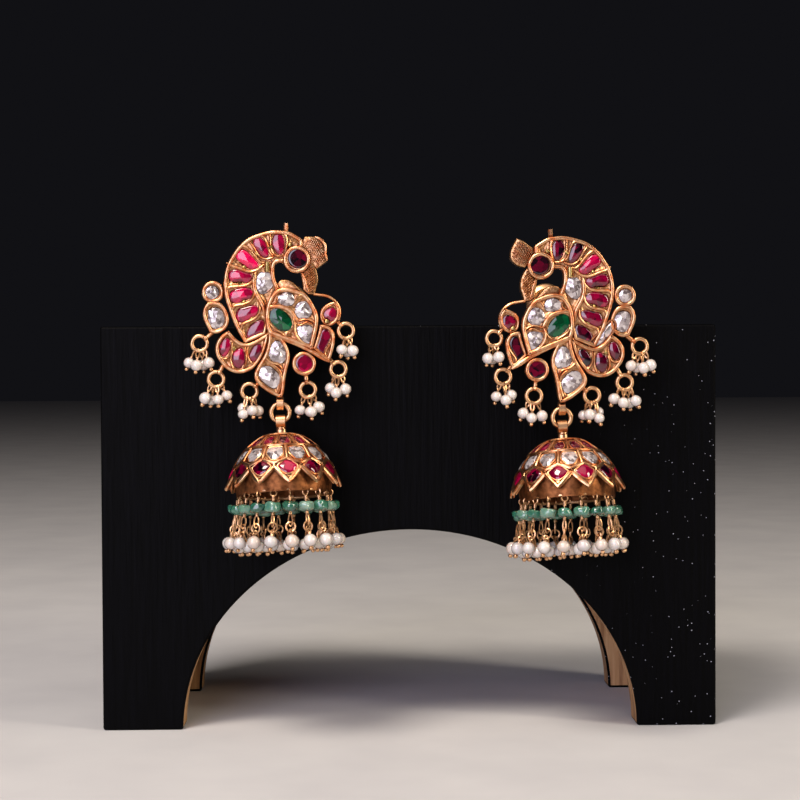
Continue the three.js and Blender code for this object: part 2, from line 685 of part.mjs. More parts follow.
function stand() {
  const half = STAND_WIDTH / 2;
  const inFront = FRONT_FACE_Y + FRONT_BOARD;
  const behind = FRONT_FACE_Y + STAND_DEPTH - REAR_BOARD;
  const shelf = STAND_HEIGHT - SIDE_BOARD;
  const group = new THREE.Group();
  group.add(piece("stand_front", archedBoard(FRONT_BOARD, FRONT_FACE_Y), wood));
  group.add(piece("stand_rear", archedBoard(REAR_BOARD, behind), wood));
  group.add(piece("stand_top", board([-half, inFront, shelf], [half, behind, STAND_HEIGHT]), wood));
  group.add(piece("stand_left_side", board([-half, inFront, 0], [SIDE_BOARD - half, behind, shelf]), wood));
  group.add(piece("stand_right_side", board([half - SIDE_BOARD, inFront, 0], [half, behind, shelf]), wood));
  return group;
}

const pair = new THREE.Group();
pair.add(stand(), ...EARRINGS.map(earring));
export default pair;
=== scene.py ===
# %% [markdown]
# # A pair of kundan jhumka earrings on a black stand
# A kundan earring is a shallow gold case. Flat foil-backed stones sit in its cells, and soft gold is
# rubbed up round each of them. This lesson dresses a CAD pair of such earrings, hung on a small painted
# stand: a peacock stud, a ring, a bell set with stones, and a fringe of green beads and pearls.
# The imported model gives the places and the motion, so it is loaded first and never moved.

# %% Load the frame
import math
import random

import bpy
import numpy as np
from mathutils import Matrix, Vector, noise


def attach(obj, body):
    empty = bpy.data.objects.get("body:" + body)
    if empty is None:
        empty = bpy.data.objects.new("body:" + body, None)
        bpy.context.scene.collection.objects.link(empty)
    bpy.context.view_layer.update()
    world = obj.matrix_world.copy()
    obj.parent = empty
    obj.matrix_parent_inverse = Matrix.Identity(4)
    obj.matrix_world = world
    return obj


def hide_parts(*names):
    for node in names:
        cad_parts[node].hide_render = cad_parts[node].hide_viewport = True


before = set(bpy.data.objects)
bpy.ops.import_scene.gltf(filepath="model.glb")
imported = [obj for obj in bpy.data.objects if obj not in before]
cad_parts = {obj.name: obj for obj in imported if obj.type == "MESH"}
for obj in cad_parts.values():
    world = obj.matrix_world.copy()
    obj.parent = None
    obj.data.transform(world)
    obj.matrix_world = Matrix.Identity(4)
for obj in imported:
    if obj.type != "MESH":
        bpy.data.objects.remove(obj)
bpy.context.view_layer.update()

# %% [markdown]
# ## Units and the camera
# The frame is in metres, and a jeweller measures in millimetres. So each piece is drawn in millimetres
# and scaled once, as its mesh is made. The camera stands where the photographer stood: a little over a
# third of a metre in front of the stand, just under its top, with a long lens.

# %% Camera
MM = 0.001
LENS = 78.6
SENSOR = 36
NEAREST_SEEN = 0.01
CAMERA_PLACE = Vector((-9.5, -357.8, 72.9))
CAMERA_YAW = -1.27
CAMERA_TILT = -1.27
CAMERA_ROLL = 0.28


def turned_by(degrees, axis):
    return Matrix.Rotation(math.radians(degrees), 4, axis)


def moved_to(x, y, z):
    return Matrix.Translation((x, y, z))


def in_scene(name, data):
    """A new object of the scene, made of some data."""
    made = bpy.data.objects.new(name, data)
    bpy.context.scene.collection.objects.link(made)
    return made


camera = in_scene("camera", bpy.data.cameras.new("camera"))
camera.data.lens = LENS
camera.data.clip_start = NEAREST_SEEN
level = turned_by(CAMERA_YAW, "Z") @ turned_by(CAMERA_TILT, "X") @ turned_by(CAMERA_ROLL, "Y")
camera.matrix_world = Matrix.Translation(CAMERA_PLACE * MM) @ level @ turned_by(90, "X")
bpy.context.scene.camera = camera
print("camera", [round(value, 3) for value in camera.location])

# %% [markdown]
# ## Lines, sweeps and castings
# Jewellery is mostly wire, strip and rounded walls, and all of them are one thing: a section carried
# along a line. A curve object with a bevel could do it too, but a mesh made in code can be joined into
# one casting with its stones' cells, keeps its sizes, and needs no conversion. A casting gathers such
# bodies, with a finish for each face and a tint for each body, and becomes one mesh.

# %% Smooth lines
def smooth(points, steps=6, closed=False):
    """A Catmull-Rom line through points, with some steps from each to the next."""
    points = [Vector(point) for point in points]
    if closed:
        padded = [points[-1], *points, *points[:2]]
    else:
        padded = [2 * points[0] - points[1], *points, 2 * points[-1] - points[-2]]
    line = []
    for before, here, there, after in zip(padded, padded[1:], padded[2:], padded[3:]):
        for step in range(steps):
            t = step / steps
            along = 2 * here + (there - before) * t
            along += (2 * before - 5 * here + 4 * there - after) * t ** 2
            line.append((along + (3 * here - before - 3 * there + after) * t ** 3) / 2)
    return line if closed else [*line, points[-1]]


def outline(stretches, steps=5):
    """A closed line of smooth stretches, with a corner where each one starts."""
    line = []
    for stretch, following in zip(stretches, stretches[1:] + stretches[:1]):
        line += smooth([*stretch, following[0]], steps)[:-1]
    return line


def turns(count):
    """The angles of a full turn in equal steps."""
    return [2 * math.pi * k / count for k in range(count)]


def polar(radius, angle):
    return radius * math.cos(angle), radius * math.sin(angle)


# %% Castings
def faces_outwards(points, faces):
    """Says whether a closed body's faces look away from its middle, on the whole."""
    places = np.array(points)
    places -= places.mean(0)
    corners = places[np.array([face[:3] for face in faces])]
    return (corners[:, 0] * np.cross(corners[:, 1], corners[:, 2])).sum() > 0


class Casting:
    """Gathers the bodies of one piece and makes one mesh of them."""

    def __init__(self):
        self.points = []
        self.faces = []
        self.finishes = []
        self.tints = []

    def add(self, body, finish=0, tint=0.5, place=None, open_sheet=False):
        points, faces = body
        start = len(self.points)
        points = [place @ Vector(point) if place else Vector(point) for point in points]
        if not open_sheet and not faces_outwards(points, faces):
            faces = [face[::-1] for face in faces]
        self.points += points
        self.faces += [[start + corner for corner in face] for face in faces]
        self.finishes += [finish] * len(faces)
        self.tints += [tint] * len(points)

    def piece(self, name, body, slot, finishes, place=None, sharp=40, nodes=()):
        """Makes the mesh at its place, lets it ride on a body and lets it stand for CAD nodes."""
        mesh = bpy.data.meshes.new(name)
        shift = place or Matrix.Identity(4)
        faces = [face[::-1] for face in self.faces] if shift.determinant() < 0 else self.faces
        mesh.from_pydata([MM * (shift @ point) for point in self.points], [], faces)
        for finish in finishes:
            mesh.materials.append(finish)
        mesh.polygons.foreach_set("material_index", self.finishes)
        mesh.polygons.foreach_set("use_smooth", [True] * len(faces))
        tint = mesh.attributes.new("tint", "FLOAT", "POINT")
        tint.data.foreach_set("value", self.tints)
        mesh.set_sharp_from_angle(angle=math.radians(sharp))
        made = in_scene(name, mesh)
        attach(made, body)
        if nodes:
            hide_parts(*nodes)
        print(name, len(mesh.polygons), "faces")
        return made


# %% Bodies: rings of points, sweeps, rings of wire and balls
POLE_HOLE = 0.02
LUMPS_A_RADIUS = 1.3


def skin(rings, closed=False):
    """Quads between rings of the same length, with flat ends unless the rings close."""
    sides = len(rings[0])
    points = [point for ring in rings for point in ring]
    faces = []
    for r in range(len(rings) if closed else len(rings) - 1):
        here, there = r * sides, (r + 1) % len(rings) * sides
        for k in range(sides):
            after = (k + 1) % sides
            faces.append([here + k, here + after, there + after, there + k])
    if not closed:
        faces.append(list(range(sides))[::-1])
        faces.append(list(range(len(points) - sides, len(points))))
    return points, faces


def headings(path, closed):
    """The way that a path runs at each of its points."""
    found = []
    for k, point in enumerate(path):
        before = path[k - 1] if closed or k else point
        after = path[(k + 1) % len(path)] if closed or k + 1 < len(path) else point
        found.append((after - before).normalized())
    return found


def oval(middle, side, top, wide, high, sides):
    """An oval ring of points, in the plane of two directions."""
    ring = []
    for k in range(sides):
        a, b = polar(0.5, 2 * math.pi * (k + 0.5) / sides)
        ring.append(middle + side * (wide * a) + top * (high * b))
    return ring


def swept(path, wide, high, sides=8, closed=False, axis=None, taper=None):
    """An oval section carried along a path; its height stays along the axis where one is given."""
    path = [Vector(point) for point in path]
    top = (path[1] - path[0]).orthogonal().normalized()
    rings = []
    for k, (point, along) in enumerate(zip(path, headings(path, closed))):
        side = along.cross(Vector(axis) if axis else top).normalized()
        top = side.cross(along).normalized()
        share = taper(k / (len(path) - 1)) if taper else 1.0
        rings.append(oval(point, side, top, share * wide, share * high, sides))
    return skin(rings, closed)


def wire_ring(radius, wire, centre=(0, 0, 0), axis="Y", steps=24, sides=8):
    """A round ring of wire about one axis."""
    direction = [0, 0]
    direction.insert("XYZ".index(axis), 1)
    path = []
    for angle in turns(steps):
        point = [*polar(radius, angle)]
        point.insert("XYZ".index(axis), 0)
        path.append(Vector(centre) + Vector(point))
    return swept(path, 2 * wire, 2 * wire, sides, True, direction)


def ball(centre, radius, around=14, rows=8, squash=1.0, rough=0.0, seed=0, boxy=1.0):
    """A ball about Z, flattened by squash, uneven where rough is over 0, squarer where boxy is under 1."""
    rings = []
    for row in range(rows + 1):
        rise = math.pi * (row + POLE_HOLE) / (rows + 2 * POLE_HOLE)
        out = math.sin(rise) ** boxy
        up = math.copysign(abs(math.cos(rise)) ** boxy, math.cos(rise)) * squash
        ring = []
        for angle in turns(around):
            point = Vector((*polar(out, angle), up))
            uneven = 1 + rough * noise.noise(point * LUMPS_A_RADIUS + Vector((seed, 0, 0)))
            ring.append(Vector(centre) + point * radius * uneven)
        rings.append(ring)
    return skin(rings)


print("a ball has", len(ball((0, 0, 0), 1)[1]), "faces")

# %% [markdown]
# ## Finishes
# Each finish starts from a real material and from how its surface was made. A metal takes all its
# colour from its reflections. Stones, pearls and paint are dielectrics, with a typical IOR. Patterns
# are worked out from sizes in millimetres, and are tied to the object's own space, so they ride along.

# %% Colours, nodes and materials
def linear(hex_code):
    """An sRGB hex colour as the linear values that shaders take."""
    shares = [int(hex_code[k:k + 2], 16) / 255 for k in (1, 3, 5)]
    return [*(c / 12.92 if c < 0.04045 else ((c + 0.055) / 1.055) ** 2.4 for c in shares), 1.0]


def add(tree, kind, settings=None, links=None, output=0):
    """Adds a shader node with its settings, its ramp's stops and its links; returns one output."""
    node = tree.nodes.new(f"ShaderNode{kind}")
    for name, value in (settings or {}).items():
        if name == "stops":
            elements = node.color_ramp.elements
            while len(elements) < len(value):
                elements.new(0.5)
            for element, (place, colour) in zip(elements, value):
                element.position, element.color = place, linear(colour)
        elif isinstance(name, int) or name in node.inputs:
            node.inputs[name].default_value = value
        else:
            setattr(node, name, value)
    for name, source in (links or {}).items():
        tree.links.new(source, node.inputs[name])
    return node.outputs[output]


def finish(name, settings):
    """A new material with one Principled shader and its settings; returns the material and its tree."""
    material = bpy.data.materials.new(name)
    material.use_nodes = True
    for socket, value in settings.items():
        material.node_tree.nodes["Principled BSDF"].inputs[socket].default_value = value
    return material, material.node_tree


def feed(tree, sources):
    """Links sources to the shader's sockets."""
    for socket, source in sources.items():
        tree.links.new(source, tree.nodes["Principled BSDF"].inputs[socket])


# %% Patterns by their size in millimetres
TINTED = {"data_type": "RGBA", "blend_type": "MULTIPLY", 0: 1.0}


def place_of(tree, stretch=(1, 1, 1)):
    """The object's own coordinates, stretched along its axes."""
    return add(tree, "Mapping", {"Scale": stretch}, {0: add(tree, "TexCoord", output="Object")})


def grain_of(tree, size, detail=3.0, stretch=(1, 1, 1)):
    """Noise whose spots are about this wide."""
    settings = {"Scale": 1 / (size * MM), "Detail": detail, "Roughness": 0.55}
    return add(tree, "TexNoise", settings, {"Vector": place_of(tree, stretch)}, "Fac")


def cells_of(tree, size):
    """Cells about this wide: the distance from each one's middle, and its random red and green."""
    settings = {"Scale": 1 / (size * MM), "Randomness": 1.0}
    middle = add(tree, "TexVoronoi", settings, {"Vector": place_of(tree)}, "Distance")
    red = add(tree, "SeparateColor", links={"Color": middle.node.outputs["Color"]}, output="Red")
    return middle, red, red.node.outputs["Green"]


# %% [markdown]
# ### Gold
# The cases are cast or built up in a copper-rich gold, burnished by hand on the ribs and left dull and
# reddish where the tool can't reach. Ambient occlusion finds those recesses and darkens them to a deep
# red-brown, partly that patina and partly painted shade, so one finish is bright on a rib and brown
# beside a stone. The wire is drawn, so it is yellower, smoother and evenly bright, but for painted shade
# in its recesses. The floors between the stones are pure soft foil, pushed in with a chisel that leaves
# its marks, and they get the same patina and painted shade.

# %% Gold finishes
def patina_and_painted_shade(tree, reach, stops, samples=8):
    """Patina and painted shade: colours from the deepest recess to the open surface, felt within a reach in
    millimetres.
    """
    settings = {"samples": samples, "Distance": reach * MM}
    return add(tree, "ValToRGB", {"stops": stops}, {0: add(tree, "AmbientOcclusion", settings, output="AO")})


def burnished_gold():
    gold, tree = finish("antique_rose_gold_cast_and_burnished", {"Metallic": 1.0})
    # The deep red-brown of the recesses is partly patina and partly painted shade.
    colour = patina_and_painted_shade(tree, 0.65, [(0.2, "#46160C"), (0.5, "#944E2C"), (0.8, "#D0945F"), (1.0, "#EABB8E")])
    spots = grain_of(tree, 1.4)
    worn = add(tree, "ValToRGB", {"stops": [(0.38, "#E8B49A"), (0.58, "#FFFFFF")]}, {0: spots})
    dents = {"Strength": 1.0, "Distance": 0.012 * MM}
    feed(tree, {
        "Base Color": add(tree, "Mix", TINTED, {6: colour, 7: worn}, 2),
        "Roughness": add(tree, "MapRange", {"To Min": 0.38, "To Max": 0.24}, {0: spots}),
        "Normal": add(tree, "Bump", dents, {"Height": grain_of(tree, 1.1)}),
    })
    return gold


def drawn_gold():
    gold, tree = finish("yellow_gold_wire_drawn", {"Metallic": 1.0, "Roughness": 0.32})
    # The wire's darker recesses are painted shade.
    feed(tree, {"Base Color": patina_and_painted_shade(tree, 0.6, [(0.2, "#7A4A2A"), (0.8, "#E0B082")], 4)})
    return gold


def grain_solder():
    solder, tree = finish("gold_solder_grains_left_dull", {"Metallic": 1.0})
    spots = grain_of(tree, 0.8)
    feed(tree, {
        "Base Color": add(tree, "ValToRGB", {"stops": [(0.35, "#8A7440"), (0.65, "#C4AC70")]}, {0: spots}),
        "Roughness": add(tree, "MapRange", {"To Min": 0.45, "To Max": 0.3}, {0: spots}),
    })
    return solder


def chiselled_gold():
    gold, tree = finish("pure_gold_foil_pushed_in_with_a_chisel", {"Metallic": 1.0})
    # The deep red-brown of the recesses is partly patina and partly painted shade.
    colour = patina_and_painted_shade(tree, 0.8, [(0.2, "#521A12"), (0.5, "#96583A"), (0.9, "#D8A87C")])
    marks = grain_of(tree, 0.5)
    patina = add(tree, "ValToRGB", {"stops": [(0.35, "#BEA682"), (0.6, "#FFFFFF")]}, {0: marks})
    feed(tree, {
        "Base Color": add(tree, "Mix", TINTED, {6: colour, 7: patina}, 2),
        "Roughness": add(tree, "MapRange", {"To Min": 0.42, "To Max": 0.26}, {0: marks}),
        "Normal": add(tree, "Bump", {"Strength": 1.0, "Distance": 0.07 * MM}, {"Height": marks}),
    })
    return gold


def unpolished_gold_painted_shade():
    gold, tree = finish("gold_left_unpolished_inside_painted_shade", {"Metallic": 1.0, "Roughness": 0.5})
    # The inside of the bell is rough, unpolished gold; its dark brown colour is painted shade.
    stops = [(0.3, "#54301A"), (0.7, "#A86C42")]
    feed(tree, {"Base Color": add(tree, "ValToRGB", {"stops": stops}, {0: grain_of(tree, 1.1)})})
    return gold


GOLD = burnished_gold()
PUSHED_GOLD = chiselled_gold()
DULL_GOLD_PAINTED_SHADE = unpolished_gold_painted_shade()
WIRE_GOLD = drawn_gold()
SOLDER = grain_solder()
print("gold finishes", [gold.name for gold in (GOLD, PUSHED_GOLD, DULL_GOLD_PAINTED_SHADE, WIRE_GOLD, SOLDER)])

# %% [markdown]
# ### Stones
# Foil behind a ruby throws its colour back through the stone, in patches where its back is cut. A plain
# colour would look like enamel, so that reflected light is painted into the colour as cells of about a
# millimetre, each a little lighter or darker over the stone's own colour. The polished face above it is
# smooth, so that it mirrors the lamps as one sheet. Polki whites are uncut diamond over silver foil: half
# metal to the eye, and broken into facets; their cells of grey are painted reflection from the foil.

# %% Stone finishes
def polished_stone(name, ior, painted_reflection_patch, stops):
    """A foiled stone, lighter or darker by the tint of its body and by painted reflection in patches of this
    size.
    """
    stone, tree = finish(name, {"IOR": ior, "Roughness": 0.05})
    # Painted reflection: each cell of light from the foil is a little lighter or darker.
    red = cells_of(tree, painted_reflection_patch)[1]
    tint = add(tree, "Attribute", {"attribute_name": "tint"}, output="Fac")
    depth = add(tree, "MapRange", {"To Min": -0.2, "To Max": 0.72}, {0: tint})
    weighed = add(tree, "Math", {"operation": "MULTIPLY_ADD", 1: 0.45}, {0: red, 2: depth})
    feed(tree, {"Base Color": add(tree, "ValToRGB", {"stops": stops}, {0: weighed})})
    return stone


def polki_over_foil():
    settings = {"Metallic": 0.4, "Roughness": 0.12, "Coat Weight": 1.0, "Coat Roughness": 0.03}
    stone, tree = finish("polki_diamond_over_silver_foil", settings)
    # The cells of grey are painted reflection from the crushed silver foil.
    greys = [(0.0, "#685A5A"), (0.3, "#968A88"), (0.55, "#C2B8B6"), (1.0, "#EEE6E2")]
    feed(tree, {"Base Color": add(tree, "ValToRGB", {"stops": greys}, {0: cells_of(tree, 0.6)[1]})})
    return stone


RED_FOIL = [(0.0, "#10000A"), (0.5, "#8A0030"), (1.0, "#E60A54")]
GREEN_FOIL = [(0.0, "#00180C"), (0.5, "#024A28"), (1.0, "#0E8A4A")]
RUBY = polished_stone("ruby_foiled_and_polished", 1.77, 1.1, RED_FOIL)
EMERALD = polished_stone("emerald_foiled_and_polished", 1.58, 1.0, GREEN_FOIL)
POLKI = polki_over_foil()
print("stone finishes", RUBY.name, EMERALD.name, POLKI.name)

# %% [markdown]
# ### Pearls and green beads
# A small freshwater pearl is off-white, with soft lustre from many thin layers: a broad highlight under
# a thin clear one. Its greyer, pinker edge is painted shade, darker where its surface turns from the
# view. The green beads are tumbled beryl nuggets, cloudy and glossy. Light goes a little way into both,
# so both get a small subsurface depth.

# %% Pearl and bead finishes
def pearl_lustre():
    pearl, tree = finish("freshwater_pearl_lustre", {
        "Roughness": 0.24, "IOR": 1.53, "Coat Weight": 1.0, "Coat Roughness": 0.05,
        "Subsurface Weight": 0.1, "Subsurface Scale": 0.4 * MM,
    })
    # Painted shade: the colour turns greyer and pinker towards the pearl's outline as seen.
    edge = add(tree, "LayerWeight", {"Blend": 0.35}, output="Facing")
    island = add(tree, "NewGeometry", output="Random Per Island")
    body = [(0.0, "#E4DDD4"), (0.5, "#C6BBB2"), (1.0, "#7C7068")]
    cast = [(0.0, "#F3E6DA"), (0.5, "#FFFFFF"), (1.0, "#ECEDF2")]
    feed(tree, {"Base Color": add(tree, "Mix", TINTED, {
        6: add(tree, "ValToRGB", {"stops": body}, {0: edge}),
        7: add(tree, "ValToRGB", {"stops": cast}, {0: island}),
    }, 2)})
    return pearl


def tumbled_beryl():
    bead, tree = finish("green_beryl_tumbled", {
        "Roughness": 0.14, "IOR": 1.58, "Coat Weight": 1.0, "Coat Roughness": 0.04,
        "Subsurface Weight": 0.3, "Subsurface Scale": 0.9 * MM, "Transmission Weight": 0.3,
    })
    island = add(tree, "NewGeometry", output="Random Per Island")
    cloud = add(tree, "MapRange", {"To Min": -0.3, "To Max": 0.55}, {0: grain_of(tree, 1.6)})
    blend = add(tree, "Math", {"operation": "MULTIPLY_ADD", 1: 0.75}, {0: island, 2: cloud})
    greens = [(0.05, "#225846"), (0.4, "#44896E"), (0.7, "#74A48C"), (0.95, "#A2C4AC")]
    feed(tree, {"Base Color": add(tree, "ValToRGB", {"stops": greens}, {0: blend})})
    return bead


PEARL = pearl_lustre()
BERYL = tumbled_beryl()
print("pearl and bead finishes", PEARL.name, BERYL.name)

# %% [markdown]
# ### Painted and bare wood
# The stand is five boards, brushed with one coat of black so that the vertical grain still shows, with
# sparkling grit caught in the paint of its right half. Inside it the wood was never painted. The grit is
# drawn coarser than real dust, so that single specks show.

# %% Wood finishes
GRAIN_STRETCH = (1.0, 1.0, 0.06)
GRIT_CELL = 0.9
GRIT_RADIUS = 0.14


def brushed_black():
    paint, tree = finish("black_paint_brushed_on_wood", {"Specular IOR Level": 0.05})
    streaks = grain_of(tree, 0.7, 5.0, GRAIN_STRETCH)
    middle, _, green = cells_of(tree, GRIT_CELL)
    near = add(tree, "Math", {"operation": "LESS_THAN", 1: GRIT_RADIUS}, {0: middle})
    across = add(tree, "SeparateXYZ", links={0: place_of(tree)})
    half = {"From Min": -0.04, "From Max": 0.06, "To Min": 1.0, "To Max": 0.64}
    rarer = add(tree, "MapRange", half, {0: across})
    chosen = add(tree, "Math", {"operation": "GREATER_THAN"}, {0: green, 1: rarer})
    speck = add(tree, "Math", {"operation": "MULTIPLY"}, {0: near, 1: chosen})
    base = add(tree, "ValToRGB", {"stops": [(0.3, "#010101"), (0.7, "#030305")]}, {0: streaks})
    feed(tree, {
        "Base Color": add(tree, "Mix", {"data_type": "RGBA", 7: linear("#8E909A")}, {0: speck, 6: base}, 2),
        "Roughness": add(tree, "MapRange", {"To Min": 0.62, "To Max": 0.42}, {0: streaks}),
        "Normal": add(tree, "Bump", {"Strength": 1.0, "Distance": 0.12 * MM}, {"Height": streaks}),
    })
    return paint


def bare_wood():
    wood, tree = finish("pine_sawn_and_bare", {"Roughness": 0.75})
    streaks = grain_of(tree, 1.2, 4.0, GRAIN_STRETCH)
    browns = [(0.3, "#7E5533"), (0.55, "#B58A5C"), (0.75, "#CFA878")]
    feed(tree, {
        "Base Color": add(tree, "ValToRGB", {"stops": browns}, {0: streaks}),
        "Normal": add(tree, "Bump", {"Strength": 1.0, "Distance": 0.1 * MM}, {"Height": streaks}),
    })
    return wood


BLACK_PAINT = brushed_black()
BARE_WOOD = bare_wood()
print("wood finishes", BLACK_PAINT.name, BARE_WOOD.name)

# %% [markdown]
# ## The stand
# Five boards are glued into a bench with an arch in front and behind. Real boards have edges that catch
# light, because sandpaper and paint round them. So each board is a flat solid with a bevel modifier, and
# each of its faces has either the paint or the bare wood.

# %% Flat solids
def at_depth(line, y):
    """An outline in X and Z, stood at one depth."""
    return [Vector((point[0], y, point[1])) for point in line]


def slab(line, back, front):
    """A plate between two depths."""
    return skin([at_depth(line, back), at_depth(line, front)])


# %% Boards
STAND_HALF_WIDTH = 61.0
STAND_HEIGHT = 80.0
FRONT_FACE_Y = -12.06
STAND_DEPTH = 47.5
FRONT_BOARD = 8.0
REAR_BOARD = 7.0
SIDE_BOARD = 8.0
ARCH_HALF_WIDTH = 45.15
ARCH_HEIGHT = 39.5
ARCH_STEPS = 72
PAINTED, BARE = 0, 1
BACK, FRONT = -2, -1
BOARD_EDGE = 0.55
INSIDE_FRONT = FRONT_FACE_Y + FRONT_BOARD
STAND_REAR_Y = FRONT_FACE_Y + STAND_DEPTH
INSIDE_REAR = STAND_REAR_Y - REAR_BOARD
SHELF = STAND_HEIGHT - SIDE_BOARD


def arch_board_outline():
    half = STAND_HALF_WIDTH
    line = [(-half, 0), (-half, STAND_HEIGHT), (half, STAND_HEIGHT), (half, 0)]
    for k in range(ARCH_STEPS + 1):
        angle = math.pi * k / ARCH_STEPS
        line.append((ARCH_HALF_WIDTH * math.cos(angle), ARCH_HEIGHT * math.sin(angle)))
    return line


def board(name, node, line, back, front, bare):
    """A board, with its bare faces: its sides counted from the outline's first stretch, BACK or FRONT."""
    made = Casting()
    made.add(slab(line, back, front))
    for face in bare:
        made.finishes[face] = BARE
    woods = [BLACK_PAINT, BARE_WOOD]
    piece = made.piece(name, "stand_and_studs", "black_wood", woods, nodes=[node])
    edge = piece.modifiers.new("sanded_edge", "BEVEL")
    edge.width = BOARD_EDGE * MM
    edge.segments = 3
    edge.limit_method = "ANGLE"
    edge.harden_normals = True
    edge.material = PAINTED


def box_line(left, right, low, high):
    return [(left, low), (left, high), (right, high), (right, low)]


half = STAND_HALF_WIDTH
arched = arch_board_outline()
under_arch = range(3, len(arched))
top_line = box_line(-half, half, SHELF, STAND_HEIGHT)
left_line = box_line(-half, SIDE_BOARD - half, 0, SHELF)
right_line = box_line(half - SIDE_BOARD, half, 0, SHELF)
board("front_board", "stand_front", arched, INSIDE_FRONT, FRONT_FACE_Y, [*under_arch, BACK])
board("rear_board", "stand_rear", arched, STAND_REAR_Y, INSIDE_REAR, [*under_arch, FRONT])
board("top_board", "stand_top", top_line, INSIDE_REAR, INSIDE_FRONT, [3])
board("left_board", "stand_left_side", left_line, INSIDE_REAR, INSIDE_FRONT, [2, 3])
board("right_board", "stand_right_side", right_line, INSIDE_REAR, INSIDE_FRONT, [0, 3])

# %% [markdown]
# ## Where the earrings hang
# Both earrings come from one set of patterns, so the right one is the left one mirrored. Each hangs from
# a pivot in the middle of the stud's bail. Its bell hangs a few degrees out of plumb, as in life.

# %% Places
PIVOT_Y = -21.26
EARRINGS = {
    "left": {"hand": 1, "x": -25.1, "z": 64.9, "turn": 0, "roll": 2.6, "post": 19.4, "phase": 8.3},
    "right": {"hand": -1, "x": 29.2, "z": 63.6, "turn": -1.4, "roll": 3.0, "post": 20.7, "phase": 15},
}
RING_RADIUS = 1.75
BELL_LEAN = 10

for side, earring in EARRINGS.items():
    mirrored = Matrix.Diagonal((earring["hand"], 1, 1, 1))
    pivot = moved_to(earring["x"], PIVOT_Y, earring["z"])
    ring_low = moved_to(0, 0, -RING_RADIUS)
    drop_place = pivot @ ring_low @ turned_by(-earring["roll"], "Y") @ ring_low
    earring["stud"] = pivot @ turned_by(earring["turn"], "Y") @ mirrored
    earring["ring"] = pivot @ ring_low
    earring["bell"] = drop_place @ turned_by(-BELL_LEAN, "X") @ mirrored
    print(side, "pivot", [round(value, 1) for value in pivot.translation])

# %% [markdown]
# ## The stud
# The peacock is a tray of thin plates at different depths. A wall is soldered round each plate, thinner
# walls divide its stones, and soft gold is pushed into the corners until it runs up to every wall like
# wax. A flat floor would miss that, so the floor here is a sheet of small quads whose height follows the
# distance to the nearest wall. The plates are read off the photograph as points of its 800 by 800 frame,
# and carried along the camera's rays to the depth of the plate that they lie on.

# %% From the photograph's frame to millimetres
FRAME = 800
FOCAL = LENS / SENSOR * FRAME


def seen(points, front, side="left"):
    """The X and Z, in a stud's own millimetres, of points of the photograph on a plate at this depth."""
    inverse = EARRINGS[side]["stud"].inverted()
    found = []
    for u, v in points:
        ray = level.to_3x3() @ Vector(((u - FRAME / 2) / FOCAL, 1.0, (FRAME / 2 - v) / FOCAL))
        point = inverse @ (CAMERA_PLACE + ray * ((PIVOT_Y + front - CAMERA_PLACE.y) / ray.y))
        found.append((point.x, point.z))
    return found


print("middle of the frame on the neck plate", [round(c, 1) for c in seen([(400, 400)], -1.1)[0]])

# %% The plates, in stretches between corners
NECK = [
    [
        (303, 239), (297, 235.3), (290, 231.5), (283, 230.3), (275, 229.8), (267, 230.9), (259, 233.2),
        (251, 236.1), (243.5, 240.8), (236.5, 247.8), (230.8, 256.3), (226.2, 265.5), (223.6, 276.5),
        (223.2, 286), (225, 298.5), (229.5, 312), (235.5, 327.5),
    ],
    [(245, 344)],
    [(266, 335), (272, 310)],
    [(279.5, 288), (276.5, 281.4), (274.9, 275.2), (274.7, 268), (276.5, 263.5)],
    [(282, 263)],
    [(292, 260), (302, 249)],
]
WING = [
    [
        (268.5, 334), (265.8, 326), (264.8, 316), (266.2, 306), (269.5, 297), (275.5, 290), (283, 287.3),
        (291, 288), (299, 290.5), (305.5, 293.5), (310.5, 299), (314.5, 305.5), (317.5, 312.5), (318.6, 320),
        (317.8, 328), (316, 336), (314, 344),
    ],
    [(312.5, 350), (301, 346), (290, 342), (279, 338)],
]
LEAF = [
    [(328.7, 362), (331.5, 356.5), (333.5, 349), (335, 341), (334.7, 334), (331.5, 328), (326.5, 325)],
    [(319.5, 324), (317, 335)],
    [(312.5, 349), (320, 355.5)],
]
DROP = [
    [
        (278, 397.5), (270, 393.5), (261, 387), (255, 380), (254, 373.5), (257.5, 366), (263.4, 356),
        (266.6, 347), (268, 339),
    ],
    [(268, 331)],
    [(282, 336), (286.5, 344), (289.6, 352), (289.6, 361), (287, 371), (285.3, 381), (284.2, 391)],
    [(282.5, 397.5)],
]
CRESCENT = [
    [
        (228.5, 330), (222, 334.5), (217, 340.5), (215, 347.5), (215.8, 354.5), (219.5, 361.5), (225, 368),
        (232, 372.3), (240, 373.7), (248, 371.7), (255, 367.5), (262, 358), (266.5, 347),
    ],
    [(270.5, 331), (262, 336), (255, 340), (248.5, 342.7), (242, 342.3), (235.5, 338)],
]
CREST = [
    [(303, 240), (304.5, 236.8), (310, 236.3), (315.5, 237), (320.3, 239.3), (324.5, 245)],
    [(325.9, 249), (325.3, 253.3)],
    [(327.4, 261)],
    [(316.5, 269.5), (311.5, 264)],
    [(300, 262), (299, 248)],
]
BEAK = [
    [(309, 259), (314.8, 266.5), (317.8, 274), (318.2, 281), (316.3, 288)],
    [(315, 294.5)],
    [(308, 294.8), (303.6, 290.5), (302.4, 283)],
    [(299.5, 269)],
]
ARCH = [
    [(277.5, 289.5), (276.8, 284), (281, 280.2), (287, 279.6), (292.5, 282), (297.5, 286.5)],
    [(304, 294), (290, 293)],
]
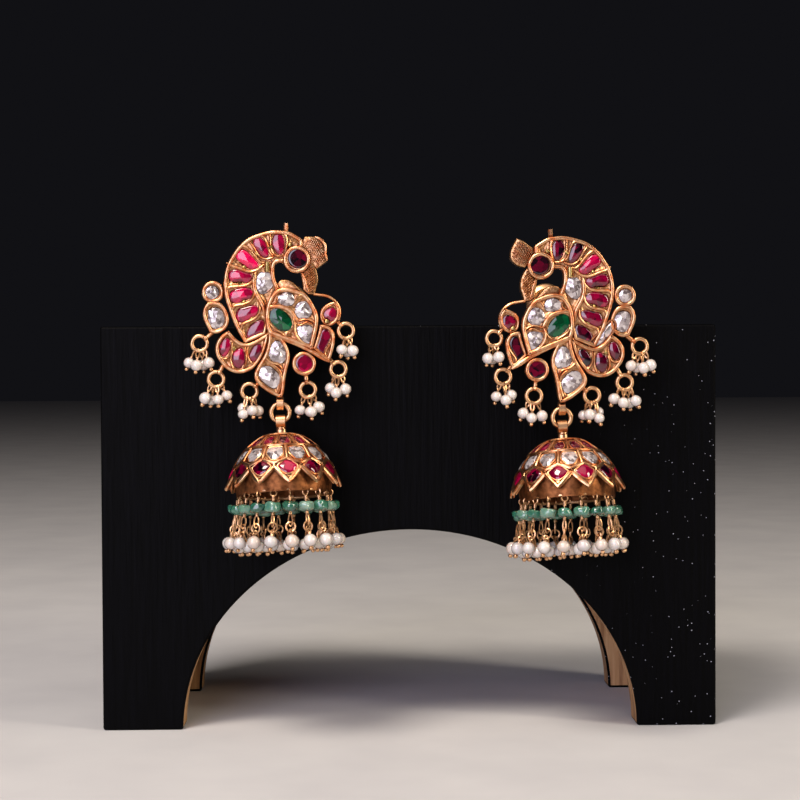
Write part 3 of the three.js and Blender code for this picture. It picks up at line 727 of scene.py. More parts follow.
SIDE_DROP = [
    [(209.5, 332.5), (206.3, 326), (203.6, 320), (202.2, 313.5), (203.6, 307)],
    [(207, 302), (214, 301), (221, 303)],
    [(225.5, 307.5), (228.3, 314), (229.3, 321), (227, 327.5), (222.5, 331.8), (216, 334)],
]
DROP_CELL = [
    [(334.5, 301), (328, 303.2), (322.5, 307.2), (319.6, 313.5), (320.2, 320), (324, 325), (329.5, 326.6)],
    [(335, 323.8), (339, 318), (340, 310.5), (338, 304.5)],
]
TRAYS = {
    "side_drop": (SIDE_DROP, -0.8, 0.81), "drop_cell": (DROP_CELL, -0.9, 0.72),
    "crescent": (CRESCENT, -1.15, 0.84), "neck": (NECK, -1.1, 0.88), "leaf": (LEAF, -1.3, 0.77),
    "drop": (DROP, -1.5, 0.79), "wing": (WING, -1.7, 0.93),
}
RIGHT_CREST = [
    [(533.5, 248), (528.6, 244.6), (523.8, 241.1)],
    [(516.7, 238)],
    [(513.2, 244.6), (510.6, 250.5), (510.3, 257.7), (513.2, 262.4), (517.9, 265.9)],
    [(525, 267.8)],
    [(532, 262), (536, 256)],
]
WEDGE_STONE = [
    (612.6, 321.5), (614.4, 326), (609.5, 335.5), (601.3, 343.7), (594, 346.6), (589.8, 344.8), (596, 337.8),
    (603.4, 329.8), (608.6, 323.6),
]
WEDGE_FRONT = -0.95
PLAIN_PLATES = {"arch": (ARCH, -0.7), "beak": (BEAK, -0.9), "crest": (CREST, -0.9)}
print("plates", len(TRAYS) + len(PLAIN_PLATES))

# %% The walls between stones: width in millimetres, and the points that the wall runs through
WALLS = {
    "neck": [
        (0.74, [(284.2, 231.5), (286.4, 239), (286.2, 246), (285.2, 252), (284.6, 258)]),
        (0.55, [(269, 231), (270.3, 238), (270.4, 245), (272, 251.5), (276, 255.5), (283, 256.3)]),
        (0.55, [(259, 234.5), (264.2, 237.8), (267.6, 245), (269.8, 252), (273.8, 256.3)]),
        (0.53, [
            (249, 241), (253.2, 246.5), (256.8, 252.5), (260.5, 257), (265.5, 259), (271, 257.8),
            (274.5, 256),
        ]),
        (0.6, [
            (240.5, 244.5), (246.5, 247.3), (251, 251.3), (255.5, 256.5), (259.3, 261), (262.5, 262.7),
            (266, 261.6),
        ]),
        (0.67, [
            (226.5, 262.5), (231.5, 266), (238, 268), (244, 270.3), (250, 271.6), (255.3, 270.6),
            (260, 267.6), (265.5, 263),
        ]),
        (0.67, [
            (225.5, 293), (228.5, 287.7), (235, 286.4), (242, 286), (248, 284.3), (252.5, 280.5),
            (254.4, 275), (255.6, 270.8),
        ]),
        (0.65, [
            (231, 313.5), (233.3, 307), (238, 305), (244, 304), (250, 301), (253.4, 296), (254.2, 289),
        ]),
        (0.65, [
            (240, 333), (241.6, 325.5), (245.5, 322.6), (251, 320.4), (256, 317), (259.3, 311.5),
            (259.3, 304.5),
        ]),
        (0.89, [
            (255.5, 271), (254, 279), (254.2, 287), (256.5, 294.6), (260.5, 301.5), (263.4, 308),
            (264.6, 316),
        ]),
        (0.36, [(265.3, 262.5), (264.4, 267), (264.6, 271.5)]),
        (0.36, [(269.9, 261), (270.3, 266), (269.8, 271)]),
    ],
    "wing": [
        (0.86, [
            (267.5, 308), (271.5, 306.6), (277, 306.4), (283, 307.4), (289, 310), (293, 314.5), (295.7, 319),
            (298, 322),
        ]),
        (0.43, [(292.5, 315), (294, 321.5), (293.4, 327.5), (290.3, 332), (287, 334)]),
        (0.5, [(268.5, 321), (272.3, 326.6), (276.5, 330), (281, 332.5), (285.5, 336)]),
        (0.72, [(296, 321), (294.5, 328), (295.6, 334), (299, 339.6), (303.5, 343.6), (309, 346.6)]),
        (0.6, [(315.5, 321), (315.2, 328.5), (314, 335), (312, 341), (310, 346)]),
        (0.5, [(297.5, 322), (302.5, 319.7), (307, 319.5), (311.5, 320.8), (316, 323.5)]),
        (0.43, [(296.5, 325.2), (300.6, 324.9), (304.2, 322.9), (308, 322.1), (313, 324.4)]),
        (0.43, [(295, 301.5), (297.3, 297), (301.3, 294.7), (306, 296.2)]),
        (0.41, [(271.5, 306), (276.5, 301.8), (277, 297)]),
    ],
    "drop": [
        (0.53, [(265, 357.5), (270, 362), (274.5, 363.8), (279, 365), (283, 369.5)]),
        (0.48, [(272, 364), (277, 367.3), (280.5, 371.3), (282.3, 377)]),
        (0.6, [(281.9, 374), (281.4, 381), (280, 387), (278, 394)]),
        (0.41, [(271.8, 338), (269.9, 345), (267, 353), (266, 358)]),
    ],
    "crescent": [
        (0.5, [(232.3, 342), (231.2, 350.5), (229, 356.2), (225, 358.8), (219, 357)]),
        (0.53, [(232.7, 350), (230.8, 357), (231.2, 363), (234, 369.5)]),
        (0.48, [(245.2, 345), (246.2, 355), (246, 362), (243, 370)]),
        (0.46, [(248, 345), (247.6, 354), (249.7, 360.5), (254, 364.3), (258, 361)]),
        (0.36, [(264, 341), (263, 348), (260.6, 355.5), (257, 362)]),
    ],
    "leaf": [
        (0.55, [(328, 327), (332, 334), (331.6, 341), (328.2, 347), (325.2, 352.5), (327, 359)]),
    ],
    "drop_cell": [
        (0.41, [
            (334, 304.5), (328.8, 306.3), (324.4, 309.8), (322.4, 314.5), (324.6, 319.5), (330, 323.6),
            (335, 321),
        ]),
    ],
    "beak": [
        (0.5, [(302.5, 273), (305, 280), (306.6, 286.5), (309.5, 292.5)]),
    ],
}
GRAINS = [
    (270.3, 247), (256.5, 254), (244.2, 267), (240.2, 284), (244, 301.7), (251.2, 319), (289.4, 244.8),
    (327, 321.3), (273.6, 302.3), (287.4, 334), (234, 348.5), (247.6, 352.5),
]
print("walls", sum(len(walls) for walls in WALLS.values()), "grains", len(GRAINS))

# %% [markdown]
# ### Stones in their cells
# A ruby here is cut flat with a low dome, so that the lamp's reflection runs over it with a curved edge.
# A polki white is a thin slice with a few broad uneven facets, so it is shaded flat, while a ruby is
# shaded smooth. Each of them is traced by itself, because no two were cut alike.

# %% The stones' outlines, with the plate that each lies on, its tint and its dome's rise
RUBIES = [
    ("neck", 0.45, 0.14, [
        (274.6, 235), (278.5, 233.9), (282.2, 235.7), (284.2, 240), (284.4, 246), (283.3, 251.5),
        (280.8, 254.7), (277.6, 253.8), (274.8, 250), (273, 246), (272.1, 241.5),
    ]),
    ("neck", 0.42, 0.26, [
        (258, 236.9), (261.8, 238.4), (265, 242), (267.4, 247.5), (268.7, 253), (268, 257.3), (264.6, 258.1),
        (261.2, 256), (257.6, 251.4), (254.4, 247), (253, 242.5), (254.6, 238.5),
    ]),
    ("neck", 0.95, 0.36, [
        (241, 249.8), (246, 250.9), (251, 255.2), (255.4, 260.2), (258.6, 264.4), (257.2, 267.8),
        (252.8, 269.5), (248.4, 268), (244, 264.6), (239.6, 261.8), (236.6, 258.6), (236.2, 254),
    ]),
    ("neck", 0.62, 0.36, [
        (231.5, 270.2), (237, 269), (242.2, 270.6), (247.4, 272.5), (251.4, 274), (252, 277.5), (250, 281.3),
        (246.6, 283.4), (242.6, 282), (238, 281.7), (233, 281.7), (229.2, 278.8), (228.6, 274),
    ]),
    ("neck", 0.66, 0.36, [
        (238.4, 288.2), (244.3, 287.4), (249.6, 288.3), (252.6, 291.2), (253, 295.2), (251, 298.2),
        (247, 299.3), (243.4, 300), (240, 302.2), (235.4, 302.9), (231.4, 301.8), (229.6, 298),
        (230.2, 293.6), (233.4, 290.2),
    ]),
    ("neck", 0.5, 0.3, [
        (239, 309.2), (243.8, 307.4), (249, 306), (254.2, 305.4), (257.8, 307), (258.2, 311.4),
        (256.4, 315.2), (252, 317), (248.4, 319.6), (244, 322.2), (240, 321.9), (237.2, 319.2), (236.2, 314),
    ]),
    ("neck", 0.42, 0.2, [
        (252.6, 324), (257.2, 320.9), (262, 320.1), (264.8, 323), (265.2, 327.4), (263.6, 332),
        (259.6, 335.9), (255, 338.8), (250.6, 339.6), (247.4, 337.4), (246.8, 333), (249, 327.8),
    ]),
    ("crescent", 0.5, 0.28, [
        (223.8, 338.8), (227.6, 338.2), (230.3, 341.2), (230.8, 346), (229.2, 351.2), (226.5, 355.2),
        (223.6, 356.7), (220.9, 354.4), (219.4, 349.8), (220.7, 344),
    ]),
    ("crescent", 0.5, 0.28, [
        (236, 350.6), (239.2, 348.4), (242.4, 349), (244.2, 352), (245, 357), (244.6, 362.7), (242.2, 366.2),
        (238.9, 368.5), (235.2, 367), (232.9, 363), (232, 358), (233.2, 353),
    ]),
    ("crescent", 0.35, 0.16, [
        (253.9, 346.4), (257.3, 344.3), (260.9, 345.2), (261.9, 348.8), (260.8, 353.5), (258.4, 358),
        (255.5, 361), (252, 361.4), (249.6, 358.6), (249.1, 355), (251, 351),
    ]),
    ("drop_cell", 0.5, 0.12, [
        (328.4, 308.5), (332.3, 307.5), (335.8, 309.7), (337.3, 314.2), (336.3, 318.6), (333.4, 321.3),
        (330, 321), (327, 318), (324.8, 318.4), (323.4, 314.2), (324.8, 311),
    ]),
    ("leaf", 0.34, 0.04, [
        (325.4, 328.8), (328.6, 331.2), (330.4, 335.2), (329.8, 340), (327.3, 345), (324.8, 349.3),
        (323.6, 353), (321.6, 354.2), (318, 350.6), (316.4, 346.2), (317.7, 340), (319.8, 334.4),
        (322.3, 330.2),
    ]),
]
WHITES = [
    ("neck", [
        (264.9, 271.8), (269.2, 273), (272.4, 276.9), (273.9, 282.2), (272.9, 286), (269.2, 290),
        (265.8, 293.4), (261.8, 294), (258.4, 292.2), (256.6, 287.6), (256.4, 281.6), (257.3, 276.2),
        (260.4, 272.6),
    ]),
    ("wing", [
        (276.7, 298.4), (278.8, 295.8), (282.9, 293), (287.6, 291.6), (290.8, 292.6), (293.2, 296),
        (294.8, 299), (294.2, 302.8), (291.2, 305.2), (286.2, 306), (281.8, 304.7), (278.4, 301.8),
    ]),
    ("wing", [
        (294.7, 310.3), (295.8, 306), (298.5, 303), (302.3, 301.2), (306.3, 301.6), (309.6, 304.6),
        (311.5, 308.4), (311.7, 312.6), (310, 316.4), (306.6, 318.6), (302.3, 319), (298, 317.3),
        (295.6, 314.4),
    ]),
    ("wing", [
        (297, 328.3), (299.6, 325.6), (303.7, 325.2), (308.5, 325.1), (311.9, 326.9), (312.9, 331),
        (312.4, 336.3), (310.6, 340.6), (308.5, 344), (304.7, 342.9), (301.3, 339.6), (298.2, 335),
    ]),
    ("drop", [
        (268.4, 354), (269, 349.4), (271.7, 344.2), (275.2, 341), (279.2, 341.3), (282.8, 344.7),
        (285.6, 349.4), (286.7, 354), (285.7, 359.2), (282.8, 362.6), (280.2, 363.5), (277, 361.9),
        (273.6, 361.7), (270.4, 359),
    ]),
    ("drop", [
        (259.6, 371.3), (260.9, 367.8), (264.8, 366), (269.4, 366.3), (274, 369.4), (278, 373.6),
        (280.3, 377.6), (279.8, 381.5), (277, 387), (273.8, 388.4), (270, 387), (264.8, 383.5), (260.2, 379),
        (258.8, 375.3),
    ]),
    ("side_drop", [
        (208, 314.5), (208.6, 310.4), (211.4, 308.4), (215.2, 307.7), (219.1, 308.6), (222.5, 311.6),
        (224.2, 316.4), (224.4, 321.4), (222.6, 325), (219.8, 327.4), (216, 328.8), (212.4, 327.6),
        (209.8, 325.2), (208.3, 320.2),
    ]),
]
GREENS = [
    ("wing", [
        (273.9, 308.6), (278.1, 308.2), (282.5, 310.2), (285.8, 313.4), (288.7, 316.8), (291.3, 320.6),
        (292.2, 324), (291.5, 327.9), (289, 330.4), (284.8, 331.1), (280.4, 330.3), (276.1, 327.4),
        (272.8, 324), (270.4, 320.6), (269.7, 316), (270.9, 311.2),
    ]),
]

# %% Round cells: places and radii of cell and stone, then depth, tint (none for a white) and dome's rise
ROUND_CELLS = [
    ((296.7, 259.4, 2.66), (298, 258.2, 1.92), -1.45, -0.15, 0.02),
    ((304, 363.5, 2.36), (304.4, 363.6, 1.72), -1.35, 0.4, 0.02),
    ((212.8, 292, 2.2), (211.9, 292.4, 1.3), -0.8, None, None),
]
print("rubies", len(RUBIES) + 2, "whites", len(WHITES) + 1)

# %% Distances, for the floors between the walls
FLOOR_STEP = 0.2
FLOOR_TOP = 0.14
FLOOR_SINK = 0.34
FLOOR_REACH = 0.7
FLOOR_INSET = 0.3
WALL_FOOT = 0.35
CHISEL_DEPTH = 0.03
CHISEL_SPACING = 0.55
CHISEL_SLANT = 0.6
UNDER_STONE = 0.95
STONE_TUCK = 0.12
STUD_BACK = 1.1


def offset(line, inwards):
    """Moves a closed outline inwards by a distance, along the mean of the sides at each point."""
    count = len(line)
    area = sum(line[k - 1][0] * line[k][1] - line[k][0] * line[k - 1][1] for k in range(count))
    sign = 1 if area > 0 else -1
    moved = []
    for k in range(count):
        before, after = line[k - 1], line[(k + 1) % count]
        along = Vector((after[0] - before[0], after[1] - before[1])).normalized()
        moved.append((line[k][0] - sign * along.y * inwards, line[k][1] + sign * along.x * inwards))
    return moved


def within(points, line):
    """Says which of many points lie within an outline, by counting the sides above each of them."""
    found = np.zeros(len(points), bool)
    for (ax, az), (bx, bz) in zip(line[-1:] + line[:-1], line):
        crosses = (ax > points[:, 0]) != (bx > points[:, 0])
        height = az + (points[:, 0] - ax) * (bz - az) / ((bx - ax) or 1e-9)
        found ^= crosses & (points[:, 1] < height)
    return found


def distance(points, line):
    """The distance from each of many points to a line, in millimetres."""
    ends = np.array(line)
    starts, along = ends[:-1], ends[1:] - ends[:-1]
    length = np.maximum((along ** 2).sum(1), 1e-9)
    offsets = points[:, None] - starts
    share = np.clip((offsets * along).sum(2) / length, 0, 1)
    return np.sqrt(((offsets - share[..., None] * along) ** 2).sum(2)).min(1)


def pushed_gold(edge, front, walls, stones):
    """The floor of a plate: a sheet of small quads that rises to each wall and dips under each stone."""
    line = offset(edge, FLOOR_INSET)
    low, high = np.min(line, 0), np.max(line, 0)
    across, up = (int((high[k] - low[k]) / FLOOR_STEP) + 2 for k in (0, 1))
    grid = low + FLOOR_STEP * np.array([(i, j) for j in range(up) for i in range(across)])
    foot = offset(edge, WALL_FOOT)
    near = distance(grid, foot + foot[:1]) - FLOOR_INSET
    for width, wall in walls:
        near = np.minimum(near, distance(grid, wall) - width / 2)
    share = np.clip(near / FLOOR_REACH, 0, 1)
    share = share * share * (3 - 2 * share)
    cuts = np.sin((grid[:, 0] * CHISEL_SLANT + grid[:, 1]) * 2 * math.pi / CHISEL_SPACING)
    height = front + FLOOR_TOP + FLOOR_SINK * share + CHISEL_DEPTH * cuts * share
    for stone in stones:
        height[within(grid, offset(stone, STONE_TUCK))] = front + UNDER_STONE
    kept = within(grid, line)
    faces = []
    for j in range(up - 1):
        for i in range(across - 1):
            corner = j * across + i
            quad = [corner, corner + 1, corner + across + 1, corner + across]
            if kept[quad].all():
                faces.append(quad)
    used = sorted({corner for face in faces for corner in face})
    place = {corner: k for k, corner in enumerate(used)}
    points = [Vector((grid[corner][0], height[corner], grid[corner][1])) for corner in used]
    return points, [[place[corner] for corner in face] for face in faces]


print("floor step", FLOOR_STEP, "mm")

# %% Trays, walls and stones as bodies
FRONTWARDS = (0, 1, 0)
PLATE_INSET = 0.1
PLATE_SINK = 1.0
RIM_HEIGHT = 1.0
RIM_SINK = 0.3
WALL_HEIGHT = 0.84
WALL_SINK = 0.22
GIRDLE_BACK = 0.7
SHOULDER = 0.2
DOME_FOOT = [(1, 0.75), (1, 0.22), (0.97, 0.15)]
DOME_LOW = 0.12
DOME_SHARES = (0.92, 0.78, 0.64, 0.5, 0.36, 0.22, 0.07)
BROAD_FACETS = 7
FACET_ROWS = ((0.7, 0.45), (0.33, 0.9))
WHITE_RISE = 0.42
GREEN_RISE = 0.26


def tapered(share):
    """Full width in the middle, and narrow at both ends."""
    return min(1.0, 0.45 + 5 * min(share, 1 - share))


def rib(line, y, wide, high, sides=10, closed=False, taper=None):
    """A rounded rib along a line at one depth."""
    return swept(at_depth(line, y), wide, high, sides, closed, FRONTWARDS, taper)


def tray(made, edge, front, rim, walls, stones):
    """A plate with a rounded wall round it, thin walls on it and soft gold between them."""
    made.add(slab(offset(edge, PLATE_INSET), STUD_BACK, front + PLATE_SINK))
    made.add(rib(offset(edge, rim / 2), front + RIM_SINK, rim, RIM_HEIGHT, 12, True))
    made.add(pushed_gold(edge, front, walls, stones), 3, open_sheet=True)
    for width, wall in walls:
        made.add(rib(wall, front + WALL_SINK, width, WALL_HEIGHT, taper=tapered))


def traced(points, front, steps=5, closed=False, side="left"):
    """A smooth line through points of the photograph, on a plate at this depth."""
    return smooth(seen(points, front, side), steps, closed)


def round_line(u, v, radius, front):
    """A circle round a point of the photograph."""
    middle = Vector(seen([(u, v)], front)[0])
    return [middle + Vector(polar(radius, angle)) for angle in turns(32)]


def middle_of(line):
    return sum((Vector(point) for point in line), Vector((0, 0))) / len(line)


def level_rings(line, levels):
    """Copies of an outline, drawn in towards its middle by a share, each at its own depth."""
    middle = middle_of(line)
    rings = []
    for share, y in levels:
        rings.append(at_depth([middle + (Vector(point) - middle) * share for point in line], y))
    return rings


def domed_stone(line, front, rise):
    """A smooth stone: a straight girdle, a small bevel and a dome like a slice of a ball."""
    levels = DOME_FOOT + [(share, DOME_LOW - rise * (1 - share * share)) for share in DOME_SHARES]
    return skin(level_rings(line, [(share, front + y) for share, y in levels]))


def broad_facets(line, front, rng, rise=WHITE_RISE):
    """A thin slice with broad uneven facets in two rows round its middle."""
    count = 2 * BROAD_FACETS
    girdle = [line[round(k * len(line) / count) % len(line)] for k in range(count)]
    shoulder = front + SHOULDER
    points, faces = skin(level_rings(girdle, [(1, front + GIRDLE_BACK), (1, shoulder)]))
    faces = faces[:-1]
    middle = middle_of(line)
    for share, deep in FACET_ROWS:
        for corner in girdle[::2]:
            point = middle + (Vector(corner) - middle) * share * rng.uniform(0.85, 1.15)
            points.append(Vector((point.x, shoulder - rise * deep * rng.uniform(0.75, 1.2), point.y)))
    x, z = (c + rng.uniform(-0.2, 0.2) for c in middle)
    points.append(Vector((x, shoulder - rise, z)))
    low, outer, inner, top = count, 2 * count, 2 * count + BROAD_FACETS, 3 * count
    for k in range(BROAD_FACETS):
        following = (k + 1) % BROAD_FACETS
        here, between_them, after = low + 2 * k, low + 2 * k + 1, low + 2 * following
        faces += [
            [here, between_them, outer + k],
            [between_them, after, outer + following],
            [between_them, outer + following, outer + k],
            [outer + k, outer + following, inner + k],
            [outer + following, inner + following, inner + k],
            [inner + k, inner + following, top],
        ]
    return points, faces


print("most that a ruby's dome rises", max(row[2] for row in RUBIES), "mm")

# %% [markdown]
# ### Crest, beak and findings
# The crest is stamped all over with a round punch, and the beak is hatched with a graver. Both are cut
# deep enough to see, so they are made as rows of small bodies, left out where the outline ends. Loops of
# drawn wire are soldered round the edge on short tabs, for the pearls.

# %% Crest, beak, loops and tabs
LOOP_RADIUS = 1.45
LOOP_WIRE = 0.42
TAB_WIDE = 0.9
PUNCH_SPACING = 0.42
PUNCH_ROW = 0.87
PUNCH_WANDER = 0.07
PUNCH_INSET = 0.45
HATCH_INSET = 0.42
HATCH_SPACING = 0.5
HATCH_BELOW = 6.0
HATCH_ROWS = 60
HATCH_STEP = 0.1
HATCH_STEPS = 60
SOLDER_BALL = 0.55
HATCH_SLOPES = (0.8, -0.9)
LOOPS = [
    ((-15.4, 11.6), (-12.9, 13.7)), ((-12.3, 4.7), (-10.8, 7.6)), ((-5.9, 2.4), (-4.2, 3.8)),
    ((5.3, 2.6), (4.9, 5.6)), ((11.2, 6.5), (9.6, 8.4)), ((12.7, 13.9), (10.8, 16.0)),
]


def plain_plate(edge, front):
    """A flat plate with rounded edges."""
    levels = [(0.0, STUD_BACK), (0.0, front + 0.3), (0.08, front + 0.1), (0.24, front)]
    return skin([at_depth(offset(edge, inwards), y) for inwards, y in levels])


def punched(made, edge, y, rng):
    """Rows of small round bumps within an outline."""
    line = offset(edge, PUNCH_INSET)
    low, high = np.min(line, 0), np.max(line, 0)
    for row in range(int((high[1] - low[1]) / PUNCH_SPACING / PUNCH_ROW) + 1):
        for column in range(int((high[0] - low[0]) / PUNCH_SPACING) + 1):
            x = low[0] + (column + row % 2 / 2) * PUNCH_SPACING + rng.uniform(-PUNCH_WANDER, PUNCH_WANDER)
            z = low[1] + row * PUNCH_SPACING * PUNCH_ROW + rng.uniform(-PUNCH_WANDER, PUNCH_WANDER)
            if within(np.array([(x, z)]), line)[0]:
                made.add(ball((x, y, z), rng.uniform(0.17, 0.23), 6, 4))


def hatched(made, edge, y):
    """Slanting cuts within an outline, as thin ribs between the cuts."""
    line = offset(edge, HATCH_INSET)
    low = np.min(line, 0)
    for slope in HATCH_SLOPES:
        for row in range(HATCH_ROWS):
            start = low + (0, row * HATCH_SPACING - HATCH_BELOW)
            run = start + np.array([(k * HATCH_STEP, k * HATCH_STEP * slope) for k in range(HATCH_STEPS)])
            run = run[within(run, line)]
            if len(run) > 3:
                made.add(rib((run[0], run[len(run) // 2], run[-1]), y, 0.24, 0.4, 6), 3)


def soldered_loop(made, loop, foot):
    """A wire loop, the tab that it stands on, and the solder between them."""
    made.add(wire_ring(LOOP_RADIUS, LOOP_WIRE, (loop[0], 0, loop[1]), "Y", 32, 10), 1)
    loop, foot = Vector(loop), Vector(foot)
    start = loop + (foot - loop).normalized() * (LOOP_RADIUS + 0.05)
    made.add(rib((start, (start + foot) / 2, foot), 0, TAB_WIDE, 0.9))
    made.add(ball((start.x, -0.1, start.y), SOLDER_BALL, 12, 8, 0.9, 0.3, loop.x))


print("loops", len(LOOPS))

# %% Bail, wire and stub
BAIL_RADIUS = 1.16
BAIL_THICK = 0.36
WIRE_ROUTE = [
    (313.5, 294.3), (320, 295), (326.5, 296), (332, 298.6), (336.6, 302.7), (339.3, 308), (339.9, 314),
    (338.3, 320),
]
STUB_PLACE = (1.25, 32.8)
CREST_RIM = [(315, 236.8), (320.6, 239.4), (325, 245), (325.6, 250), (325.4, 254), (327, 260.5)]
BEAK_RIB = [(301.7, 272.5), (305, 279.7), (306.5, 286), (309, 292)]
LOW_RIM = [(268, 332.4), (280, 337.3), (290, 341), (300, 345.2), (310, 350.2), (320, 356.2), (329.5, 361.6)]
RIBS = [(CREST_RIM, -0.95, 0.5), (BEAK_RIB, -0.95, 0.42), (LOW_RIM, -1.35, 0.9)]
BAR = [(267.3, 261.8), (267.2, 266), (267.3, 271.5)]


def bail(made, wide, neck_wide, neck_long, towards):
    """A strip folded round a wire, closing on a neck."""
    inner, outer = BAIL_RADIUS - BAIL_THICK / 2, BAIL_RADIUS + BAIL_THICK / 2
    half_wide, flat_half = wide / 2, wide / 2 - 0.1
    section = [
        (inner, -flat_half), (inner, flat_half), (BAIL_RADIUS, half_wide), (outer, flat_half),
        (outer, -flat_half), (BAIL_RADIUS, -half_wide),
    ]
    rings = []
    for angle in turns(32):
        out = Vector((0, *polar(1, angle)))
        rings.append([out * r + Vector((x, 0, 0)) for r, x in section])
    made.add(skin(rings, True), 1)
    low = towards * (BAIL_RADIUS + 0.05)
    high = towards * (BAIL_RADIUS + neck_long)
    made.add(rib([(0, low), (0, (low + high) / 2), (0, high)], 0, neck_wide * 1.1, 1.1, 14), 1)
    for height in (low + towards * 0.15, high - towards * 0.25):
        made.add(wire_ring(neck_wide * 0.42, 0.22, (0, 0, height), "Z", 20), 1)


print("bail radius", BAIL_RADIUS)

# %% One stud, in its own millimetres
RIGHT_RUBY_DEEPER = 0.3
WEDGE_RIM = 0.5
ROUND_RIM = 0.82
GRAIN_RADIUS = 0.46
GRAIN_SPLIT = 265


def set_stones(stones, deeper, rng):
    """Cuts a stud's traced stones, its rubies darker by a share; returns their outlines by plate."""
    lines = {name: [] for name in TRAYS}
    for plate, tint, rise, points in RUBIES:
        front = TRAYS[plate][1]
        line = traced(points, front, 3, True)
        stones["rubies"].add(domed_stone(line, front, rise), tint=tint - deeper)
        lines[plate].append(line)
    for kind, rows, rise in (("whites", WHITES, WHITE_RISE), ("emerald", GREENS, GREEN_RISE)):
        for plate, points in rows:
            front = TRAYS[plate][1]
            line = traced(points, front, 3, True)
            stones[kind].add(broad_facets(line, front, rng, rise), tint=0.4)
            lines[plate].append(line)
    return lines


def plates_of_stud(gold, side, rng):
    """The plain plates; the crest is punched and the beak is hatched."""
    for name, (stretches, front) in PLAIN_PLATES.items():
        own = "left"
        if name == "crest" and side == "right":
            stretches, own = RIGHT_CREST, side
        edge = outline([seen(stretch, front, own) for stretch in stretches])
        gold.add(plain_plate(edge, front), 3)
        if name == "crest":
            punched(gold, edge, front, rng)
        if name == "beak":
            hatched(gold, edge, front)


def stud_bodies(side, rng):
    """The gold of a stud, and its stones by kind. The right one has its own crest and one white more."""
    deeper = RIGHT_RUBY_DEEPER if side == "right" else 0.0
    gold = Casting()
    stones = {"rubies": Casting(), "whites": Casting(), "emerald": Casting()}
    lines = set_stones(stones, deeper, rng)
    for name, (stretches, front, rim) in TRAYS.items():
        edge = outline([seen(stretch, front) for stretch in stretches])
        walls = [(width, traced(points, front)) for width, points in WALLS.get(name, [])]
        tray(gold, edge, front, rim, walls, lines[name])
    if side == "right":
        line = traced(WEDGE_STONE, WEDGE_FRONT, 3, True, side)
        stones["whites"].add(broad_facets(line, WEDGE_FRONT, rng))
        tray(gold, offset(line, -WEDGE_RIM - 0.05), WEDGE_FRONT, WEDGE_RIM, [], [line])
    plates_of_stud(gold, side, rng)
    for route, front, wide in RIBS if side == "left" else RIBS[1:]:
        gold.add(rib(traced(route, front), front, wide, 0.8 * wide, taper=tapered))
    for cell, place, front, tint, rise in ROUND_CELLS:
        stone = round_line(*place, front)
        tray(gold, round_line(*cell, front), front, ROUND_RIM, [], [stone])
        if tint is None:
            stones["whites"].add(broad_facets(stone, front, rng), tint=rng.random())
        else:
            stones["rubies"].add(domed_stone(stone, front, rise), tint=tint - deeper)
            gold.add(rib(offset(stone, -0.14), front + 0.2, 0.3, 0.7, 8, True))
    for u, v in GRAINS:
        x, z = seen([(u, v)], -1.3)[0]
        gold.add(ball((x, -0.8 if u < GRAIN_SPLIT else -1.05, z), GRAIN_RADIUS, 8, 6, 0.95, 0.45, x), 2)
    gold.add(rib(seen(BAR, -1.1), -1.0, 0.72, 0.5, 8), 2)
    for loop, foot in LOOPS:
        soldered_loop(gold, loop, foot)
    gold.add(rib(traced(WIRE_ROUTE, -0.6, 6), -0.45, 0.66, 0.9))
    x, z = STUB_PLACE
    gold.add(rib([(x, z - 0.7), (x, z + 0.8), (x + 0.05, z + 1.8)], 0, 0.95, 0.8, 8))
    bail(gold, 1.4, 0.9, 0.85, 1)
    return gold, stones


# %% Both studs
STONE_LOOKS = {
    "rubies": (RUBY, "ruby", 40, ["eye_ruby", "round_ruby", "drop_ruby", "leaf_ruby"]),
    "whites": (POLKI, "polki", 3, [
        "wing_white_upper", "wing_white_middle", "wing_white_lower", "neck_white",
        "drop_white_upper", "drop_white_lower",
    ]),
    "emerald": (EMERALD, "emerald", 3, ["wing_green"]),
}
for side, earring in EARRINGS.items():
    gold, stones = stud_bodies(side, random.Random(len(side)))
    finishes = [GOLD, WIRE_GOLD, SOLDER, PUSHED_GOLD]
    name, body, place = f"{side}_stud", "stand_and_studs", earring["stud"]
    gold.piece(f"{name}_casting", body, "antique_gold", finishes, place, nodes=[f"{side}_stud_frame"])
    for kind, (material, slot, sharp, nodes) in STONE_LOOKS.items():
        nodes = [f"{side}_{node}" for node in nodes]
        stones[kind].piece(f"{name}_{kind}", body, slot, [material], place, sharp, nodes)

# %% [markdown]
# ## Post and nut
# Behind each stud a post runs back over the stand's top, and a domed nut rests there. Both would be
# turned on a lathe, so each is a profile turned about its own axis.

# %% Posts and nuts
POST_X = 1.3
NUT_FRONT = 10.4
NUT_BEADS = 36
NUT_BEAD_CIRCLE = 3.9
POST_PROFILE = [
    (0.05, 1.4), (0.5, 1.4), (0.5, 9.2), (0.42, 9.4), (0.42, 9.7), (0.5, 9.9), (0.5, 10.9), (0.05, 10.9),
]
NUT_PROFILE = [
    (0.05, 0.0), (0.6, 0.0), (0.7, 0.3), (2.5, 0.3), (3.0, 0.0), (3.7, 0.35), (4.0, 0.8), (3.95, 1.15),
    (3.5, 1.75), (2.6, 2.25), (1.7, 2.5), (0.9, 2.6), (0.05, 2.6),
]


def turned(profile, around, start=0.0):
    """A body turned about Z from rows of radius and height."""
    return skin([
        [Vector((*polar(radius, angle), start + height)) for angle in turns(around)]
        for radius, height in profile
    ])


